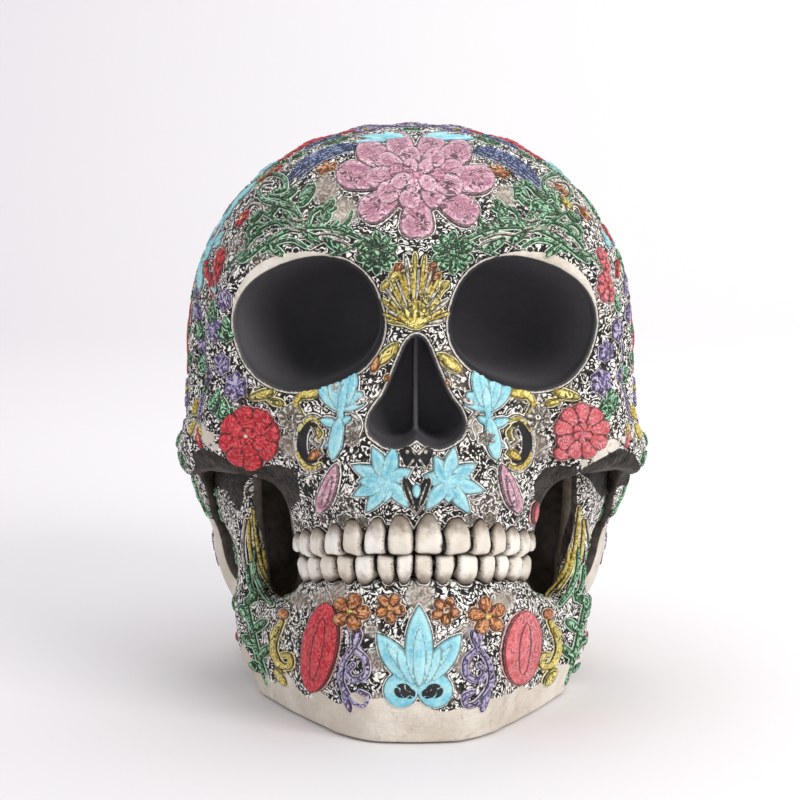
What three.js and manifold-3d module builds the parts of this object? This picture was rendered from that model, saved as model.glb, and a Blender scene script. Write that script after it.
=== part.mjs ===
// Hand-painted resin skull ornament, life-like form, about 140 x 181 x 170 mm.
// Two resin castings (hollow cranium with the upper teeth, solid lower jaw with the lower teeth) glued together
// over two locating dowels, with a plug in the pour hole and four felt pads on the two resting faces.
// Frame: millimetres, +Z up, the face looks along -Y, X = 0 is the plane of symmetry, Z = 0 is the table.
import * as THREE from 'three';
import { mergeVertices } from 'three/addons/utils/BufferGeometryUtils.js';
import Module from 'manifold-3d';

// ---------- driving dimensions (mm) ----------
const SHIFT_Y = -10.1;          // moves the modelling frame so that the origin is the middle of the footprint
const BASE_Z = 0.5;             // resin resting faces, above the table
const WALL = 5.5;               // wall of the hollow cranium
const BRAIN = { c: [0, 15, 99.5], r: [68.8, 85.5, 69.8], n: 2.22 };
const FRONTAL = { c: [0, -18, 113.5], r: [53.5, 50.5, 48.5], n: 2.15 };
const NAPE = { c: [0, 32, 42], r: [62.5, 42, 45], n: 2.35 };
const SOCKET = { x: 30.4, y: -60, z: 118.6, rx: 20.6, rz: 17.6, tilt: 20, depth: 46, n: 2.3 };
const NOSE_BACK_Y = -50;
const BITE_Z = 55.7, BITE_SLOPE = 0.235, BITE_Y = -81;   // biting plane, rises to the front
const UPPER_ARCH = { a: 36.0, b: 40.2 }, LOWER_ARCH = { a: 34.8, b: 38.6 }, ARCH_Y = -40.2;
const UPPER_ANGLES = [0, 12.3, 25.0, 36.7, 48.6, 60, 72, 85];
const LOWER_ANGLES = [0, 8.9, 18.3, 30.0, 41, 52, 64.5, 82];
const UPPER_CROWN = [10.6, 9.8, 10.2, 9.4, 9.0, 8.6, 8.2];
const LOWER_CROWN = [8.4, 8.4, 9.0, 8.4, 8.0, 7.8, 7.6];
const JAW_LOW = [[0, -69.0, 7.2], [9, -68.6, 7.2], [17.5, -62.5, 7.2], [24, -52, 7.2], [31, -39.5, 7.2], [38.5, -23.5, 7.2], [41.0, -14, 6.4]];
const JAW_HIGH = [[0, -70.5, 6.6], [13, -68.3, 6.6], [23, -60, 6.6], [30.5, -48, 6.6], [36.5, -35, 6.6], [43.0, -21.5, 6.4], [47.5, -9, 6.2]];
const DOWEL = { x: 57.4, y: 6.5, r: 2.0, z0: 62, z1: 86, clear: 0.3 };
const PLUG = { x: 0, y: 34, r: 11.5, z0: 0.8, z1: 6.8, clear: 0.3, lead: 0.6 };
const PAD = { r: 5.0, thick: 1.5, clear: 0.3, front: [24.0, -52.0], rear: [23.0, 37.0] };
const SEAT_GAP = 0.3;           // glue line between the jaw and the cranium

// ---------- field helpers: negative inside, about millimetres ----------
const smin = (a, b, k) => { const h = Math.max(k - Math.abs(a - b), 0) / k; return Math.min(a, b) - h * h * k * 0.25; };
const smax = (a, b, k) => -smin(-a, -b, k);
const clamp = (v, a, b) => Math.min(Math.max(v, a), b);
function lut(x, xs, ys) {
  if (x <= xs[0]) return ys[0];
  for (let i = 1; i < xs.length; i++) if (x <= xs[i]) return ys[i - 1] + (ys[i] - ys[i - 1]) * (x - xs[i - 1]) / (xs[i] - xs[i - 1]);
  return ys[ys.length - 1];
}
function ell(x, y, z, c, r, n = 2) {
  const X = Math.abs((x - c[0]) / r[0]) + 1e-6, Y = Math.abs((y - c[1]) / r[1]) + 1e-6, Z = Math.abs((z - c[2]) / r[2]) + 1e-6;
  const k0 = (X ** n + Y ** n + Z ** n) ** (1 / n);
  const g = Math.hypot(X ** (n - 1) / r[0], Y ** (n - 1) / r[1], Z ** (n - 1) / r[2]) * k0 ** (1 - n);
  return (k0 - 1) / (g + 1e-9);
}
function chain(x, y, z, pts, s = [1, 1, 1]) {
  let best = 1e9;
  for (let i = 1; i < pts.length; i++) {
    const [a, ra] = pts[i - 1], [b, rb] = pts[i];
    const X = (x - a[0]) * s[0], Y = (y - a[1]) * s[1], Z = (z - a[2]) * s[2];
    const dx = (b[0] - a[0]) * s[0], dy = (b[1] - a[1]) * s[1], dz = (b[2] - a[2]) * s[2];
    const t = clamp((X * dx + Y * dy + Z * dz) / (dx * dx + dy * dy + dz * dz), 0, 1);
    best = Math.min(best, Math.hypot(X - t * dx, Y - t * dy, Z - t * dz) - (ra + (rb - ra) * t));
  }
  return best;
}
const biteZ = (y) => BITE_Z + BITE_SLOPE * (BITE_Y - y);
function archField(ax, y, a, b, yc, n) {
  const X = ax / a, Y = Math.abs(Math.min(y - yc, 0) / b);
  return ((X ** n + Y ** n + 1e-9) ** (1 / n) - 1) * 0.5 * (a + b);
}

// ---------- the openings ----------
function socketField(x, y, z) {
  const Y = y - SOCKET.y, u = x - SOCKET.x + 0.30 * Math.max(Y - 10, 0), w = z - SOCKET.z + 0.07 * Y;
  const c = Math.cos(SOCKET.tilt * Math.PI / 180), s = Math.sin(SOCKET.tilt * Math.PI / 180);
  const U = u * c - w * s, W = u * s + w * c, n = SOCKET.n;
  const dep = clamp((Y - 4) / 44, 0, 1), R = 0.12 + 0.88 * Math.sqrt(clamp(1 - dep * dep, 0, 1));
  const k0 = ((Math.abs(U) / SOCKET.rx + 1e-6) ** n + (Math.abs(W) / SOCKET.rz + 1e-6) ** n) ** (1 / n);
  return smax((k0 - R) * 19, Y - SOCKET.depth, 10);
}
function noseField(x, y, z) {
  const ax = Math.abs(x);
  const d1 = Math.hypot(ax - 6.3, (z - 92.2) * 1.06) - 6.5;
  const hw = lut(z, [84, 88, 92, 97, 102, 109.7, 114, 117.5, 120], [12.2, 12.6, 12.6, 10.6, 8.0, 4.8, 3.1, 1.4, 0.2]);
  let d2 = (ax - hw) * 0.92;
  d2 = smax(d2, 89.2 - z, 3); d2 = smax(d2, z - 117.2, 3);
  return smax(smin(d1, d2, 2), y - NOSE_BACK_Y, 8);
}
function hollowField(x, y, z) {
  let h = ell(x, y, z, [50, -26, 52], [13.9, 37, 20.8], 3.4);
  h = smin(h, ell(x, y, z, [56.5, -14, 66], [9.5, 19, 9.5], 2.6), 3);
  return smin(h, ell(x, y, z, [50, -18, 40], [15.5, 34, 16], 3), 4);
}

// ---------- cranium without its openings ----------
const BROW = [[[5, -63.5, 134.0], 5.0], [[14, -64.0, 138.6], 4.8], [[25, -62.0, 141.0], 4.6], [[35, -58.6, 139.6], 4.4], [[44, -54.0, 134.4], 4.3], [[50.5, -49.5, 126.5], 4.3], [[53.8, -46.5, 116], 4.4], [[54.0, -45.2, 106], 4.8], [[51.5, -45.5, 97.5], 5.6]];
const UNDER_EYE = [[[49.5, -47.5, 94.5], 6.2], [[42, -54, 92.6], 5.4], [[33, -59, 92.8], 5.0], [[23, -62.5, 95.0], 4.8], [[15, -65.5, 101], 4.5], [[11.0, -67.5, 110], 4.4], [[9, -68.5, 120], 4.4]];
const BRIDGE = [[[0, -64, 133], 8.0], [[0, -70.0, 125], 6.4], [[0, -73.2, 119.0], 4.8]];
const NOSE_RIM = [[[3.5, -74.2, 118], 3.2], [[8.0, -72.2, 108], 3.6], [[13.0, -69.6, 99], 4.0], [[15.6, -68.8, 92], 4.2], [[13.0, -70.8, 85.0], 4.2], [[6, -74.0, 82.8], 4.2], [[0, -76.6, 84.5], 3.2]];
const CHEEK_ARCH = [[[52, -39, 82.0], 5.6], [[60.5, -31, 79.0], 4.8], [[65.2, -22, 75.6], 4.5], [[66.6, -12, 73.4], 4.5], [[65.8, -1, 73.4], 4.9], [[62, 10, 75.5], 6.0], [[57, 18, 80], 7]];
function craniumField(x, y, z) {
  const ax = Math.abs(x);
  let d = ell(ax, y, z, BRAIN.c, BRAIN.r, BRAIN.n);
  d = smin(d, ell(ax, y, z, FRONTAL.c, FRONTAL.r, FRONTAL.n), 20);
  d = smin(d, ell(ax, y, z, NAPE.c, NAPE.r, NAPE.n), 20);
  d = smax(d, -ell(ax, y, z, [79, -28, 105], [26, 29, 27]), 12);                    // temple
  let f = ell(ax, y, z, [0, -36, 113], [54.2, 34.5, 30], 2.7);
  f = smin(f, ell(ax, y, z, [0, -39, 93], [46, 32, 25], 2.3), 12);
  d = smin(d, f, 8);
  d = smin(d, chain(ax, y, z, BROW), 11);
  d = smin(d, chain(ax, y, z, UNDER_EYE), 8);
  d = smin(d, ell(ax, y, z, [46.5, -41.5, 84.5], [15.5, 14.5, 12.5], 2.3), 9);       // cheek bone
  d = smin(d, ell(ax, y, z, [53, 16, 70], [13.5, 17, 20], 2.3), 14);                 // ear region
  d = smin(d, ell(ax, y, z, [0, 4, 58], [45, 24, 38], 2.6), 10);                     // middle of the base
  d = smin(d, ell(ax, y, z, [0, -40, 78], [37, 37.5, 20], 2.6), 8);                  // upper jaw
  let rg = smax(archField(ax, y, 34.4, 37, -40, 2.1), y + 14, 6);
  rg = smax(rg, z - 80, 6); rg = smax(rg, biteZ(y) + 6.5 - z, 3);
  d = smin(d, rg, 5);
  d = smin(d, chain(ax, y, z, BRIDGE), 8);
  return smin(d, chain(ax, y, z, NOSE_RIM), 6);
}
const archFieldBar = (x, y, z) => chain(Math.abs(x), y, z, CHEEK_ARCH, [1, 1, 0.58]);
function openFields(x, y, z) {
  const ax = Math.abs(x);
  return Math.min(socketField(ax, y, z), noseField(x, y, z), hollowField(ax, y, z));
}

// ---------- lower jaw ----------
function sweepField(ax, y, z) {
  let t = clamp(z / 34, 0, 1); t = t * t * (3 - 2 * t);
  const P = JAW_LOW.map((l, i) => l.map((v, k) => v + (JAW_HIGH[i][k] - v) * t));
  let best = 1e9;
  for (let i = 1; i < P.length; i++) {
    const A = P[i - 1], B = P[i], dx = B[0] - A[0], dy = B[1] - A[1];
    const q = clamp(((ax - A[0]) * dx + (y - A[1]) * dy) / (dx * dx + dy * dy), 0, 1);
    best = Math.min(best, Math.hypot(ax - A[0] - q * dx, y - A[1] - q * dy) - (A[2] + (B[2] - A[2]) * q));
  }
  return best;
}
function jawBodyField(x, y, z) {
  const ax = Math.abs(x);
  let d = smax(sweepField(ax, y, z), z - lut(y, [-80, -62, -45, -30, -15, 0], [41, 40, 36, 31.5, 27, 25]), 6);
  d = smin(d, ell(ax, y, z, [0, -67, 18], [19, 9.4, 24], 2.3), 12);
  let rg = smax(archField(ax, y, 33.4, 36, -40, 2.1), -archField(ax, y, 24, 27, -40, 2.1), 4);
  rg = smax(rg, y + 26, 5); rg = smax(rg, z - (biteZ(y) - 7), 3); rg = smax(rg, 22 - z, 4);
  return smin(d, rg, 6);
}
function ramusField(x, y, z) {
  const ax = Math.abs(x);
  const sl = lut(z, [0, 20, 39, 48, 57, 70], [0.04, 0.05, 0.08, 0.21, 0.30, 0.34]);
  const rx = 47.2 + sl * (y + 25), yc = lut(z, [0, 20, 45, 75], [-6, -5, -4, -5]), hy = lut(z, [0, 8, 20, 45, 75], [16, 17.5, 18.5, 17, 17]);
  let d = smax(smax(Math.abs(ax - rx) - 4.6, Math.abs(y - yc) - hy, 7), z - 75, 4);
  d = smax(d, (6 + 0.36 * (y + 20)) * 0.94 - z * 0.94, 9);
  return smax(d, -ell(ax, y, z, [58, -4, 82], [30, 8, 15]), 4);
}

// ---------- meshes from fields ----------
const wasm = await Module(); wasm.setup();
function weld(g) {
  const c = g.clone(); c.deleteAttribute('normal'); c.deleteAttribute('uv');
  return mergeVertices(c, 1e-4);
}
function solid(g) {
  const m = weld(g);
  return new wasm.Manifold(new wasm.Mesh({ numProp: 3, vertProperties: Float32Array.from(m.attributes.position.array), triVerts: Uint32Array.from(m.index.array) }));
}
// a ball whose points are moved out along their own rays until they lie on the surface of a field
function ballOn(field, centre, detail, reach, level = 0, fromOutside = true, stretch = [1, 1, 1]) {
  const g = weld(new THREE.IcosahedronGeometry(1, detail)), p = g.attributes.position, d = new THREE.Vector3();
  for (let i = 0; i < p.count; i++) {
    d.fromBufferAttribute(p, i); d.set(d.x * stretch[0], d.y * stretch[1], d.z * stretch[2]).normalize();
    const at = (r) => field(centre[0] + d.x * r, centre[1] + d.y * r, centre[2] + d.z * r) - level;
    let lo, hi; const step = 1.5;
    if (fromOutside) { hi = reach; while (hi > 0 && at(hi) > 0) hi -= step; lo = Math.max(hi, 0.5); hi = lo + step; }
    else { lo = 0; while (lo < reach && at(lo + step) < 0) lo += step; hi = lo + step; }
    for (let k = 0; k < 18; k++) { const m = 0.5 * (lo + hi); if (at(m) < 0) lo = m; else hi = m; }
    const r = 0.5 * (lo + hi);
    p.setXYZ(i, centre[0] + d.x * r, centre[1] + d.y * r, centre[2] + d.z * r);
  }
  return g;
}
const mirror = (m) => m.mirror([1, 0, 0]);
function rod(r, x, y, z0, z1, seg = 20, rTop = r) {
  const g = new THREE.CylinderGeometry(rTop, r, z1 - z0, seg, 1);
  g.rotateX(Math.PI / 2); g.translate(x, y, 0.5 * (z0 + z1));
  return g;
}

// outer skin of the cranium
let cranium = solid(ballOn(craniumField, [0, 4, 88], 11, 130));
// cheek arches: bars of oval section over the hollows
function bar(pts, seg, ring) {
  const curve = new THREE.CatmullRomCurve3(pts.map(([p]) => new THREE.Vector3(...p)));
  const shape = new THREE.Shape(); shape.absellipse(0, 0, 4.7, 7.9, 0, Math.PI * 2, false, 0);
  const pts2 = shape.getPoints(ring); const s2 = new THREE.Shape(pts2.slice(0, -1));
  const g = weld(new THREE.ExtrudeGeometry(s2, { steps: seg, extrudePath: curve, bevelEnabled: false }));
  const p = g.attributes.position, v = new THREE.Vector3();
  const N = 120, line = curve.getPoints(N);
  for (let i = 0; i < p.count; i++) {
    v.fromBufferAttribute(p, i);
    let best = 1e9, q = line[0];
    for (const c of line) { const e = c.distanceToSquared(v); if (e < best) { best = e; q = c; } }
    const dir = v.clone().sub(q); if (dir.length() < 0.5) continue; dir.normalize();
    let lo = 0, hi = 16;
    for (let k = 0; k < 18; k++) { const m = 0.5 * (lo + hi); if (archFieldBar(q.x + dir.x * m, q.y + dir.y * m, q.z + dir.z * m) < 0) lo = m; else hi = m; }
    v.copy(q).addScaledVector(dir, lo); p.setXYZ(i, v.x, v.y, v.z);
  }
  return g;
}
const arch = solid(bar(CHEEK_ARCH, 9, 3));
const hollow = solid(ballOn(hollowField, [50, -22, 52], 4, 60, 0, false));
const socket = solid(ballOn(socketField, [30.4, -52, 118.6], 4, 34, 0, false));
const nose = solid(ballOn((x, y, z) => smax(noseField(x, y, z), -86 - y, 2), [0, -62, 96], 4, 40, 0, false));
cranium = cranium.subtract(hollow).subtract(mirror(hollow)).add(arch).add(mirror(arch));
cranium = cranium.subtract(socket).subtract(mirror(socket)).subtract(nose);
const septum = new THREE.BoxGeometry(1.4, 22, 35); septum.translate(0, -57, 100.2);
cranium = cranium.add(solid(septum));
// resting face
const under = new THREE.BoxGeometry(300, 300, 60); under.translate(0, 0, BASE_Z - 30);
cranium = cranium.subtract(solid(under));

// teeth: rounded crowns set along the two dental arches
function crowns(angles, heights, arc, up) {
  const out = [];
  for (let i = 0; i < 7; i++) {
    const t0 = angles[i] * Math.PI / 180, t1 = angles[i + 1] * Math.PI / 180, tm = 0.5 * (t0 + t1);
    const a = new THREE.Vector2(arc.a * Math.sin(t0), ARCH_Y - arc.b * Math.cos(t0)), b = new THREE.Vector2(arc.a * Math.sin(t1), ARCH_Y - arc.b * Math.cos(t1));
    const pm = new THREE.Vector2(arc.a * Math.sin(tm), ARCH_Y - arc.b * Math.cos(tm));
    const w = a.distanceTo(b), tg = b.clone().sub(a).normalize(), nr = new THREE.Vector2(tg.y, -tg.x);
    const depth = i < 4 ? 3.2 + 0.35 * i : 4.6, h = heights[i];
    const g = weld(new THREE.SphereGeometry(1, 8, 6)), p = g.attributes.position;
    for (let k = 0; k < p.count; k++) {
      let X = p.getX(k), Y = p.getZ(k), Z = p.getY(k);
      const n = 3.2, s = 1 / ((Math.abs(X) ** n + Math.abs(Y) ** n + Math.abs(Z) ** n + 1e-9) ** (1 / n));
      X *= s; Y *= s; Z *= s;
      const wv = 0.52 + 0.53 * Z;
      const u = (up ? X : -X) * 0.5 * w * (0.96 - 0.16 * clamp(wv, 0, 1.3) ** 1.6), v = Y * depth - 1.8 * (wv - 0.45) ** 2;
      const cx = pm.x - nr.x * depth, cy = pm.y - nr.y * depth, py = cy + tg.y * u + nr.y * v, o = biteZ(py);
      p.setXYZ(k, cx + tg.x * u + nr.x * v, py, up ? o + 0.2 + wv * h : o - 0.3 - wv * h);
    }
    let m = solid(g); if (m.volume() < 0) throw new Error('tooth turned inside out');
    out.push(m, mirror(m));
  }
  return out;
}
for (const t of crowns(UPPER_ANGLES, UPPER_CROWN, UPPER_ARCH, true)) cranium = cranium.add(t);

// jaw body: a closed tube whose rings follow the field, carried round the chin
function jawBody(stations, ring) {
  const line = new THREE.CatmullRomCurve3([[-40.5, -15.5, 15], [-37.5, -24, 16], [-31.5, -37, 18], [-25.5, -49.5, 19.5], [-18.5, -61.5, 21], [-9.5, -68.6, 21.5], [0, -69.8, 21.5], [9.5, -68.6, 21.5], [18.5, -61.5, 21], [25.5, -49.5, 19.5], [31.5, -37, 18], [37.5, -24, 16], [40.5, -15.5, 15]].map((p) => new THREE.Vector3(...p)), false, 'centripetal');
  const g = new THREE.CylinderGeometry(1, 1, 1, ring, stations); g.deleteAttribute('normal'); g.deleteAttribute('uv');
  const m = mergeVertices(g, 1e-5), p = m.attributes.position;
  for (let i = 0; i < p.count; i++) {
    const X = p.getX(i), Yc = p.getY(i), Z = p.getZ(i), t = clamp(0.5 - Yc, 0, 1), q = line.getPointAt(t), tg = line.getTangentAt(t);
    const side = new THREE.Vector3(-tg.y, tg.x, 0).normalize();
    const rr = Math.hypot(X, Z);
    if (rr < 1e-6) { p.setXYZ(i, q.x, q.y, q.z); continue; }
    // rays are bunched so that the tall section gets even spacing
    const a = Math.atan2(Z, X), dir = new THREE.Vector3().addScaledVector(side, Math.cos(a) * 0.55).add(new THREE.Vector3(0, 0, Math.sin(a))).normalize();
    let lo = 0; while (lo < 40 && jawBodyField(q.x + dir.x * (lo + 0.8), q.y + dir.y * (lo + 0.8), q.z + dir.z * (lo + 0.8)) < 0) lo += 0.8;
    let hi = lo + 0.8;
    for (let k = 0; k < 16; k++) { const mm = 0.5 * (lo + hi); if (jawBodyField(q.x + dir.x * mm, q.y + dir.y * mm, q.z + dir.z * mm) < 0) lo = mm; else hi = mm; }
    p.setXYZ(i, q.x + dir.x * lo, q.y + dir.y * lo, q.z + dir.z * lo);
  }
  return m;
}
let body = solid(jawBody(30, 16));
if (body.volume() < 0) throw new Error('jaw body turned inside out');
const ramusCentre = [50.5, -6, 38];
const ramus = solid(ballOn(ramusField, ramusCentre, 5, 60, 0, false, [0.7, 1, 1.35]));
let jaw = body.add(ramus).add(mirror(ramus));
jaw = jaw.subtract(solid(under));
for (const t of crowns(LOWER_ANGLES, LOWER_CROWN, LOWER_ARCH, false)) jaw = jaw.add(t);

// the jaw sits in a shallow seat in the cranium
const ramusSeat = solid(ballOn(ramusField, ramusCentre, 5, 60, SEAT_GAP + 0.12, false, [0.7, 1, 1.35]));
cranium = cranium.subtract(ramusSeat).subtract(mirror(ramusSeat));

// hollow inside: follows the outer skin and every opening at one wall thickness, with a solid boss at each dowel
const thick = (x, y, z) => {
  const ax = Math.abs(x);
  let d = smax(craniumField(x, y, z), -openFields(x, y, z), 3);
  d = Math.max(d, -(ramusField(ax, y, z)));
  const boss = 7.0 - Math.hypot(ax - DOWEL.x, y - DOWEL.y);
  return Math.max(d + WALL, boss, BASE_Z + WALL - z);
};
const cavGeo = ballOn(thick, [0, 30, 84], 6, 120, 0, false);
{ // each point keeps to the shortest reach around it, so that no flat facet comes near an opening
  const p = cavGeo.attributes.position, c = new THREE.Vector3(0, 30, 84), n = p.count, r = new Float64Array(n), r2 = new Float64Array(n), v = new THREE.Vector3();
  for (let i = 0; i < n; i++) r[i] = v.fromBufferAttribute(p, i).distanceTo(c);
  r2.set(r);
  const ix = cavGeo.index.array;
  for (let t = 0; t < ix.length; t += 3) for (let k = 0; k < 3; k++) { const a = ix[t + k], b = ix[t + (k + 1) % 3]; r2[a] = Math.min(r2[a], r[b] * 1.06); r2[b] = Math.min(r2[b], r[a] * 1.06); }
  for (let i = 0; i < n; i++) { v.fromBufferAttribute(p, i).sub(c).multiplyScalar(r2[i] / r[i]).add(c); p.setXYZ(i, v.x, v.y, v.z); }
}
cranium = cranium.subtract(solid(cavGeo));
cranium = cranium.subtract(solid(rod(PLUG.r + PLUG.clear, PLUG.x, PLUG.y, -2, 24, 32)));
for (const s of [1, -1]) {
  cranium = cranium.subtract(solid(rod(DOWEL.r + DOWEL.clear, s * DOWEL.x, DOWEL.y, 55, DOWEL.z1 + 0.5, 16)));
  jaw = jaw.subtract(solid(rod(DOWEL.r + DOWEL.clear, s * DOWEL.x, DOWEL.y, DOWEL.z0 - 0.5, 90, 16)));
  cranium = cranium.subtract(solid(rod(PAD.r + PAD.clear, s * PAD.rear[0], PAD.rear[1], -1, PAD.thick + PAD.clear, 24)));
  jaw = jaw.subtract(solid(rod(PAD.r + PAD.clear, s * PAD.front[0], PAD.front[1], -1, PAD.thick + PAD.clear, 24)));
}

// ---------- the assembly ----------
const group = new THREE.Group();
function largest(m) { // drops slivers that the cuts leave loose
  const parts = m.decompose(); parts.sort((a, b) => b.volume() - a.volume()); return parts[0];
}
function geometryOf(m) {
  const k = m.getMesh(), g = new THREE.BufferGeometry();
  g.setAttribute('position', new THREE.BufferAttribute(Float32Array.from(k.vertProperties), 3));
  g.setIndex(new THREE.BufferAttribute(Uint32Array.from(k.triVerts), 1)); g.computeVertexNormals();
  return g;
}
function put(name, geometry, color, roughness, metalness = 0) {
  const mesh = new THREE.Mesh(geometry, new THREE.MeshStandardMaterial({ color, roughness, metalness }));
  mesh.name = name; mesh.position.set(0, SHIFT_Y, 0); group.add(mesh);
}
put('cranium_shell', geometryOf(largest(cranium)), 0xb9ac97, 0.55);
put('mandible', geometryOf(largest(jaw)), 0xb4a791, 0.55);
const plugProfile = [[0, PLUG.z0], [PLUG.r - PLUG.lead, PLUG.z0], [PLUG.r, PLUG.z0 + PLUG.lead], [PLUG.r, PLUG.z1 - 1.5], [PLUG.r - 0.9, PLUG.z1], [0, PLUG.z1]].map((p) => new THREE.Vector2(...p));
const plug = new THREE.LatheGeometry(plugProfile, 32); plug.rotateX(Math.PI / 2); plug.scale(1, 1, 1);
plug.translate(PLUG.x, PLUG.y, 0);
put('pour_hole_plug', plug, 0x2b2b2b, 0.8);
for (const [side, s] of [['left', 1], ['right', -1]]) {
  put('jaw_dowel_' + side, rod(DOWEL.r, s * DOWEL.x, DOWEL.y, DOWEL.z0, DOWEL.z1, 16), 0xc9a777, 0.7);
  put('felt_pad_front_' + side, rod(PAD.r, s * PAD.front[0], PAD.front[1], 0, PAD.thick, 24), 0x26262a, 0.95);
  put('felt_pad_rear_' + side, rod(PAD.r, s * PAD.rear[0], PAD.rear[1], 0, PAD.thick, 24), 0x26262a, 0.95);
}
export default group;
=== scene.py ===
import math

import bpy
import numpy as np
from mathutils import Matrix, Vector


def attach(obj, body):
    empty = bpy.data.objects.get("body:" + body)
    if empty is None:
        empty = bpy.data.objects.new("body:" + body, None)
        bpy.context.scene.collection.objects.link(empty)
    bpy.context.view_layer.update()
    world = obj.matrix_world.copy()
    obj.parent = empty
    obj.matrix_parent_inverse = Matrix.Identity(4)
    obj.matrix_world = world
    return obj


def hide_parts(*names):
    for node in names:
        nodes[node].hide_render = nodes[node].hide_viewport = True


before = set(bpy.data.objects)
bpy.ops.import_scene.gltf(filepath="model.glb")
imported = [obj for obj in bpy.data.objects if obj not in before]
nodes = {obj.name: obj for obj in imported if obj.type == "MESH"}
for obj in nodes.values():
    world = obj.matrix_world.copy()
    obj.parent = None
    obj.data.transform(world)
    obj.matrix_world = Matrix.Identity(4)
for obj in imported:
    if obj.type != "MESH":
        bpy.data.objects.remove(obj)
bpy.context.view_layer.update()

# All shapes below are worked out in millimetres in a frame whose Y is moved by SHIFT_Y from the part's own.
SHIFT_Y = -10.1
BASE_Z = 0.5
STEP = 0.92
f32 = np.float32


# ---------------------------------------------------------------- distance fields
def smin(a, b, k):
    h = np.maximum(k - np.abs(a - b), 0) / k
    return np.minimum(a, b) - h * h * (k * 0.25)


def smax(a, b, k):
    return -smin(-a, -b, k)


def ell(x, y, z, c, r, n=2.0):
    X, Y, Z = (x - c[0]) / r[0], (y - c[1]) / r[1], (z - c[2]) / r[2]
    if n == 2.0:
        k0 = np.sqrt(X * X + Y * Y + Z * Z) + 1e-6
        k1 = np.sqrt((X / r[0]) ** 2 + (Y / r[1]) ** 2 + (Z / r[2]) ** 2) + 1e-9
        return k0 * (k0 - 1) / k1
    aX, aY, aZ = np.abs(X) + 1e-6, np.abs(Y) + 1e-6, np.abs(Z) + 1e-6
    k0 = (aX**n + aY**n + aZ**n) ** (1.0 / n)
    g = np.sqrt((aX ** (n - 1) / r[0]) ** 2 + (aY ** (n - 1) / r[1]) ** 2 + (aZ ** (n - 1) / r[2]) ** 2) * k0 ** (1 - n)
    return (k0 - 1) / (g + 1e-9)


def cap(x, y, z, a, b, ra, rb, s=(1, 1, 1)):
    X, Y, Z = (x - a[0]) * s[0], (y - a[1]) * s[1], (z - a[2]) * s[2]
    dx, dy, dz = (b[0] - a[0]) * s[0], (b[1] - a[1]) * s[1], (b[2] - a[2]) * s[2]
    t = np.clip((X * dx + Y * dy + Z * dz) / (dx * dx + dy * dy + dz * dz), 0, 1)
    return np.sqrt((X - t * dx) ** 2 + (Y - t * dy) ** 2 + (Z - t * dz) ** 2) - (ra + (rb - ra) * t)


def chain(x, y, z, pts, s=(1, 1, 1)):
    d = None
    for (a, ra), (b, rb) in zip(pts[:-1], pts[1:]):
        e = cap(x, y, z, a, b, ra, rb, s)
        d = e if d is None else np.minimum(d, e)
    return d


def box(x, y, z, c, h, r):
    X, Y, Z = np.abs(x - c[0]) - h[0] + r, np.abs(y - c[1]) - h[1] + r, np.abs(z - c[2]) - h[2] + r
    out = np.sqrt(np.maximum(X, 0) ** 2 + np.maximum(Y, 0) ** 2 + np.maximum(Z, 0) ** 2)
    return out + np.minimum(np.maximum(X, np.maximum(Y, Z)), 0) - r


def orbit_uw(x, y, z):
    Y = y + 60.0
    u = x - 30.4 + 0.30 * np.maximum(Y - 10, 0)
    w = z - 118.6 + 0.07 * Y
    c, s = math.cos(math.radians(20)), math.sin(math.radians(20))
    return u * c - w * s, u * s + w * c


def orbit(x, y, z):
    Y = y + 60.0
    U, W = orbit_uw(x, y, z)
    n = 2.3
    dep = np.clip((Y - 4) / 44.0, 0, 1)
    R = 0.12 + 0.88 * np.sqrt(np.clip(1 - dep * dep, 0.0, 1))
    k0 = ((np.abs(U) / 20.6 + 1e-6) ** n + (np.abs(W) / 17.6 + 1e-6) ** n) ** (1 / n)
    return smax((k0 - R) * 19.0, Y - 46, 10.0)


def nose(x, y, z):
    ax = np.abs(x)
    d1 = np.sqrt((ax - 6.3) ** 2 + ((z - 92.2) * 1.06) ** 2) - 6.5
    hw = np.interp(z, [84, 88, 92, 97, 102, 109.7, 114, 117.5, 120], [12.2, 12.6, 12.6, 10.6, 8.0, 4.8, 3.1, 1.4, 0.2]).astype(f32)
    d2 = (ax - hw) * 0.92
    d2 = smax(d2, 89.2 - z, 3)
    d2 = smax(d2, z - 117.2, 3)
    return smax(smin(d1, d2, 2.0), y + 50, 8.0)


def occ(y):
    return 55.7 + 0.235 * (-81.0 - np.asarray(y))


def archd(ax, y, a, b, yc, n=2.0):
    X = ax / a
    Y = np.minimum(y - yc, 0) / b
    return ((X**n + np.abs(Y) ** n + 1e-9) ** (1 / n) - 1) * (0.5 * (a + b))


def sweep(ax, y, z, lo, hi, zt):
    t = np.clip(z / zt, 0, 1)
    t = t * t * (3 - 2 * t)
    best = None
    P = [(p[0] + (q[0] - p[0]) * t, p[1] + (q[1] - p[1]) * t, p[2] + (q[2] - p[2]) * t) for p, q in zip(lo, hi)]
    for A, B in zip(P[:-1], P[1:]):
        dx, dy = B[0] - A[0], B[1] - A[1]
        q = np.clip(((ax - A[0]) * dx + (y - A[1]) * dy) / (dx * dx + dy * dy), 0, 1)
        e = np.sqrt((ax - A[0] - q * dx) ** 2 + (y - A[1] - q * dy) ** 2) - (A[2] + (B[2] - A[2]) * q)
        best = e if best is None else np.minimum(best, e)
    return best


def hollow(ax, y, z):
    """The space between the upper jaw and the cheek arch."""
    h = ell(ax, y, z, (50.0, -26, 52), (13.9, 37, 20.8), 3.4)
    h = smin(h, ell(ax, y, z, (56.5, -14, 66), (9.5, 19, 9.5), 2.6), 3)
    return smin(h, ell(ax, y, z, (50, -18, 40), (15.5, 34, 16), 3.0), 4)


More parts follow.
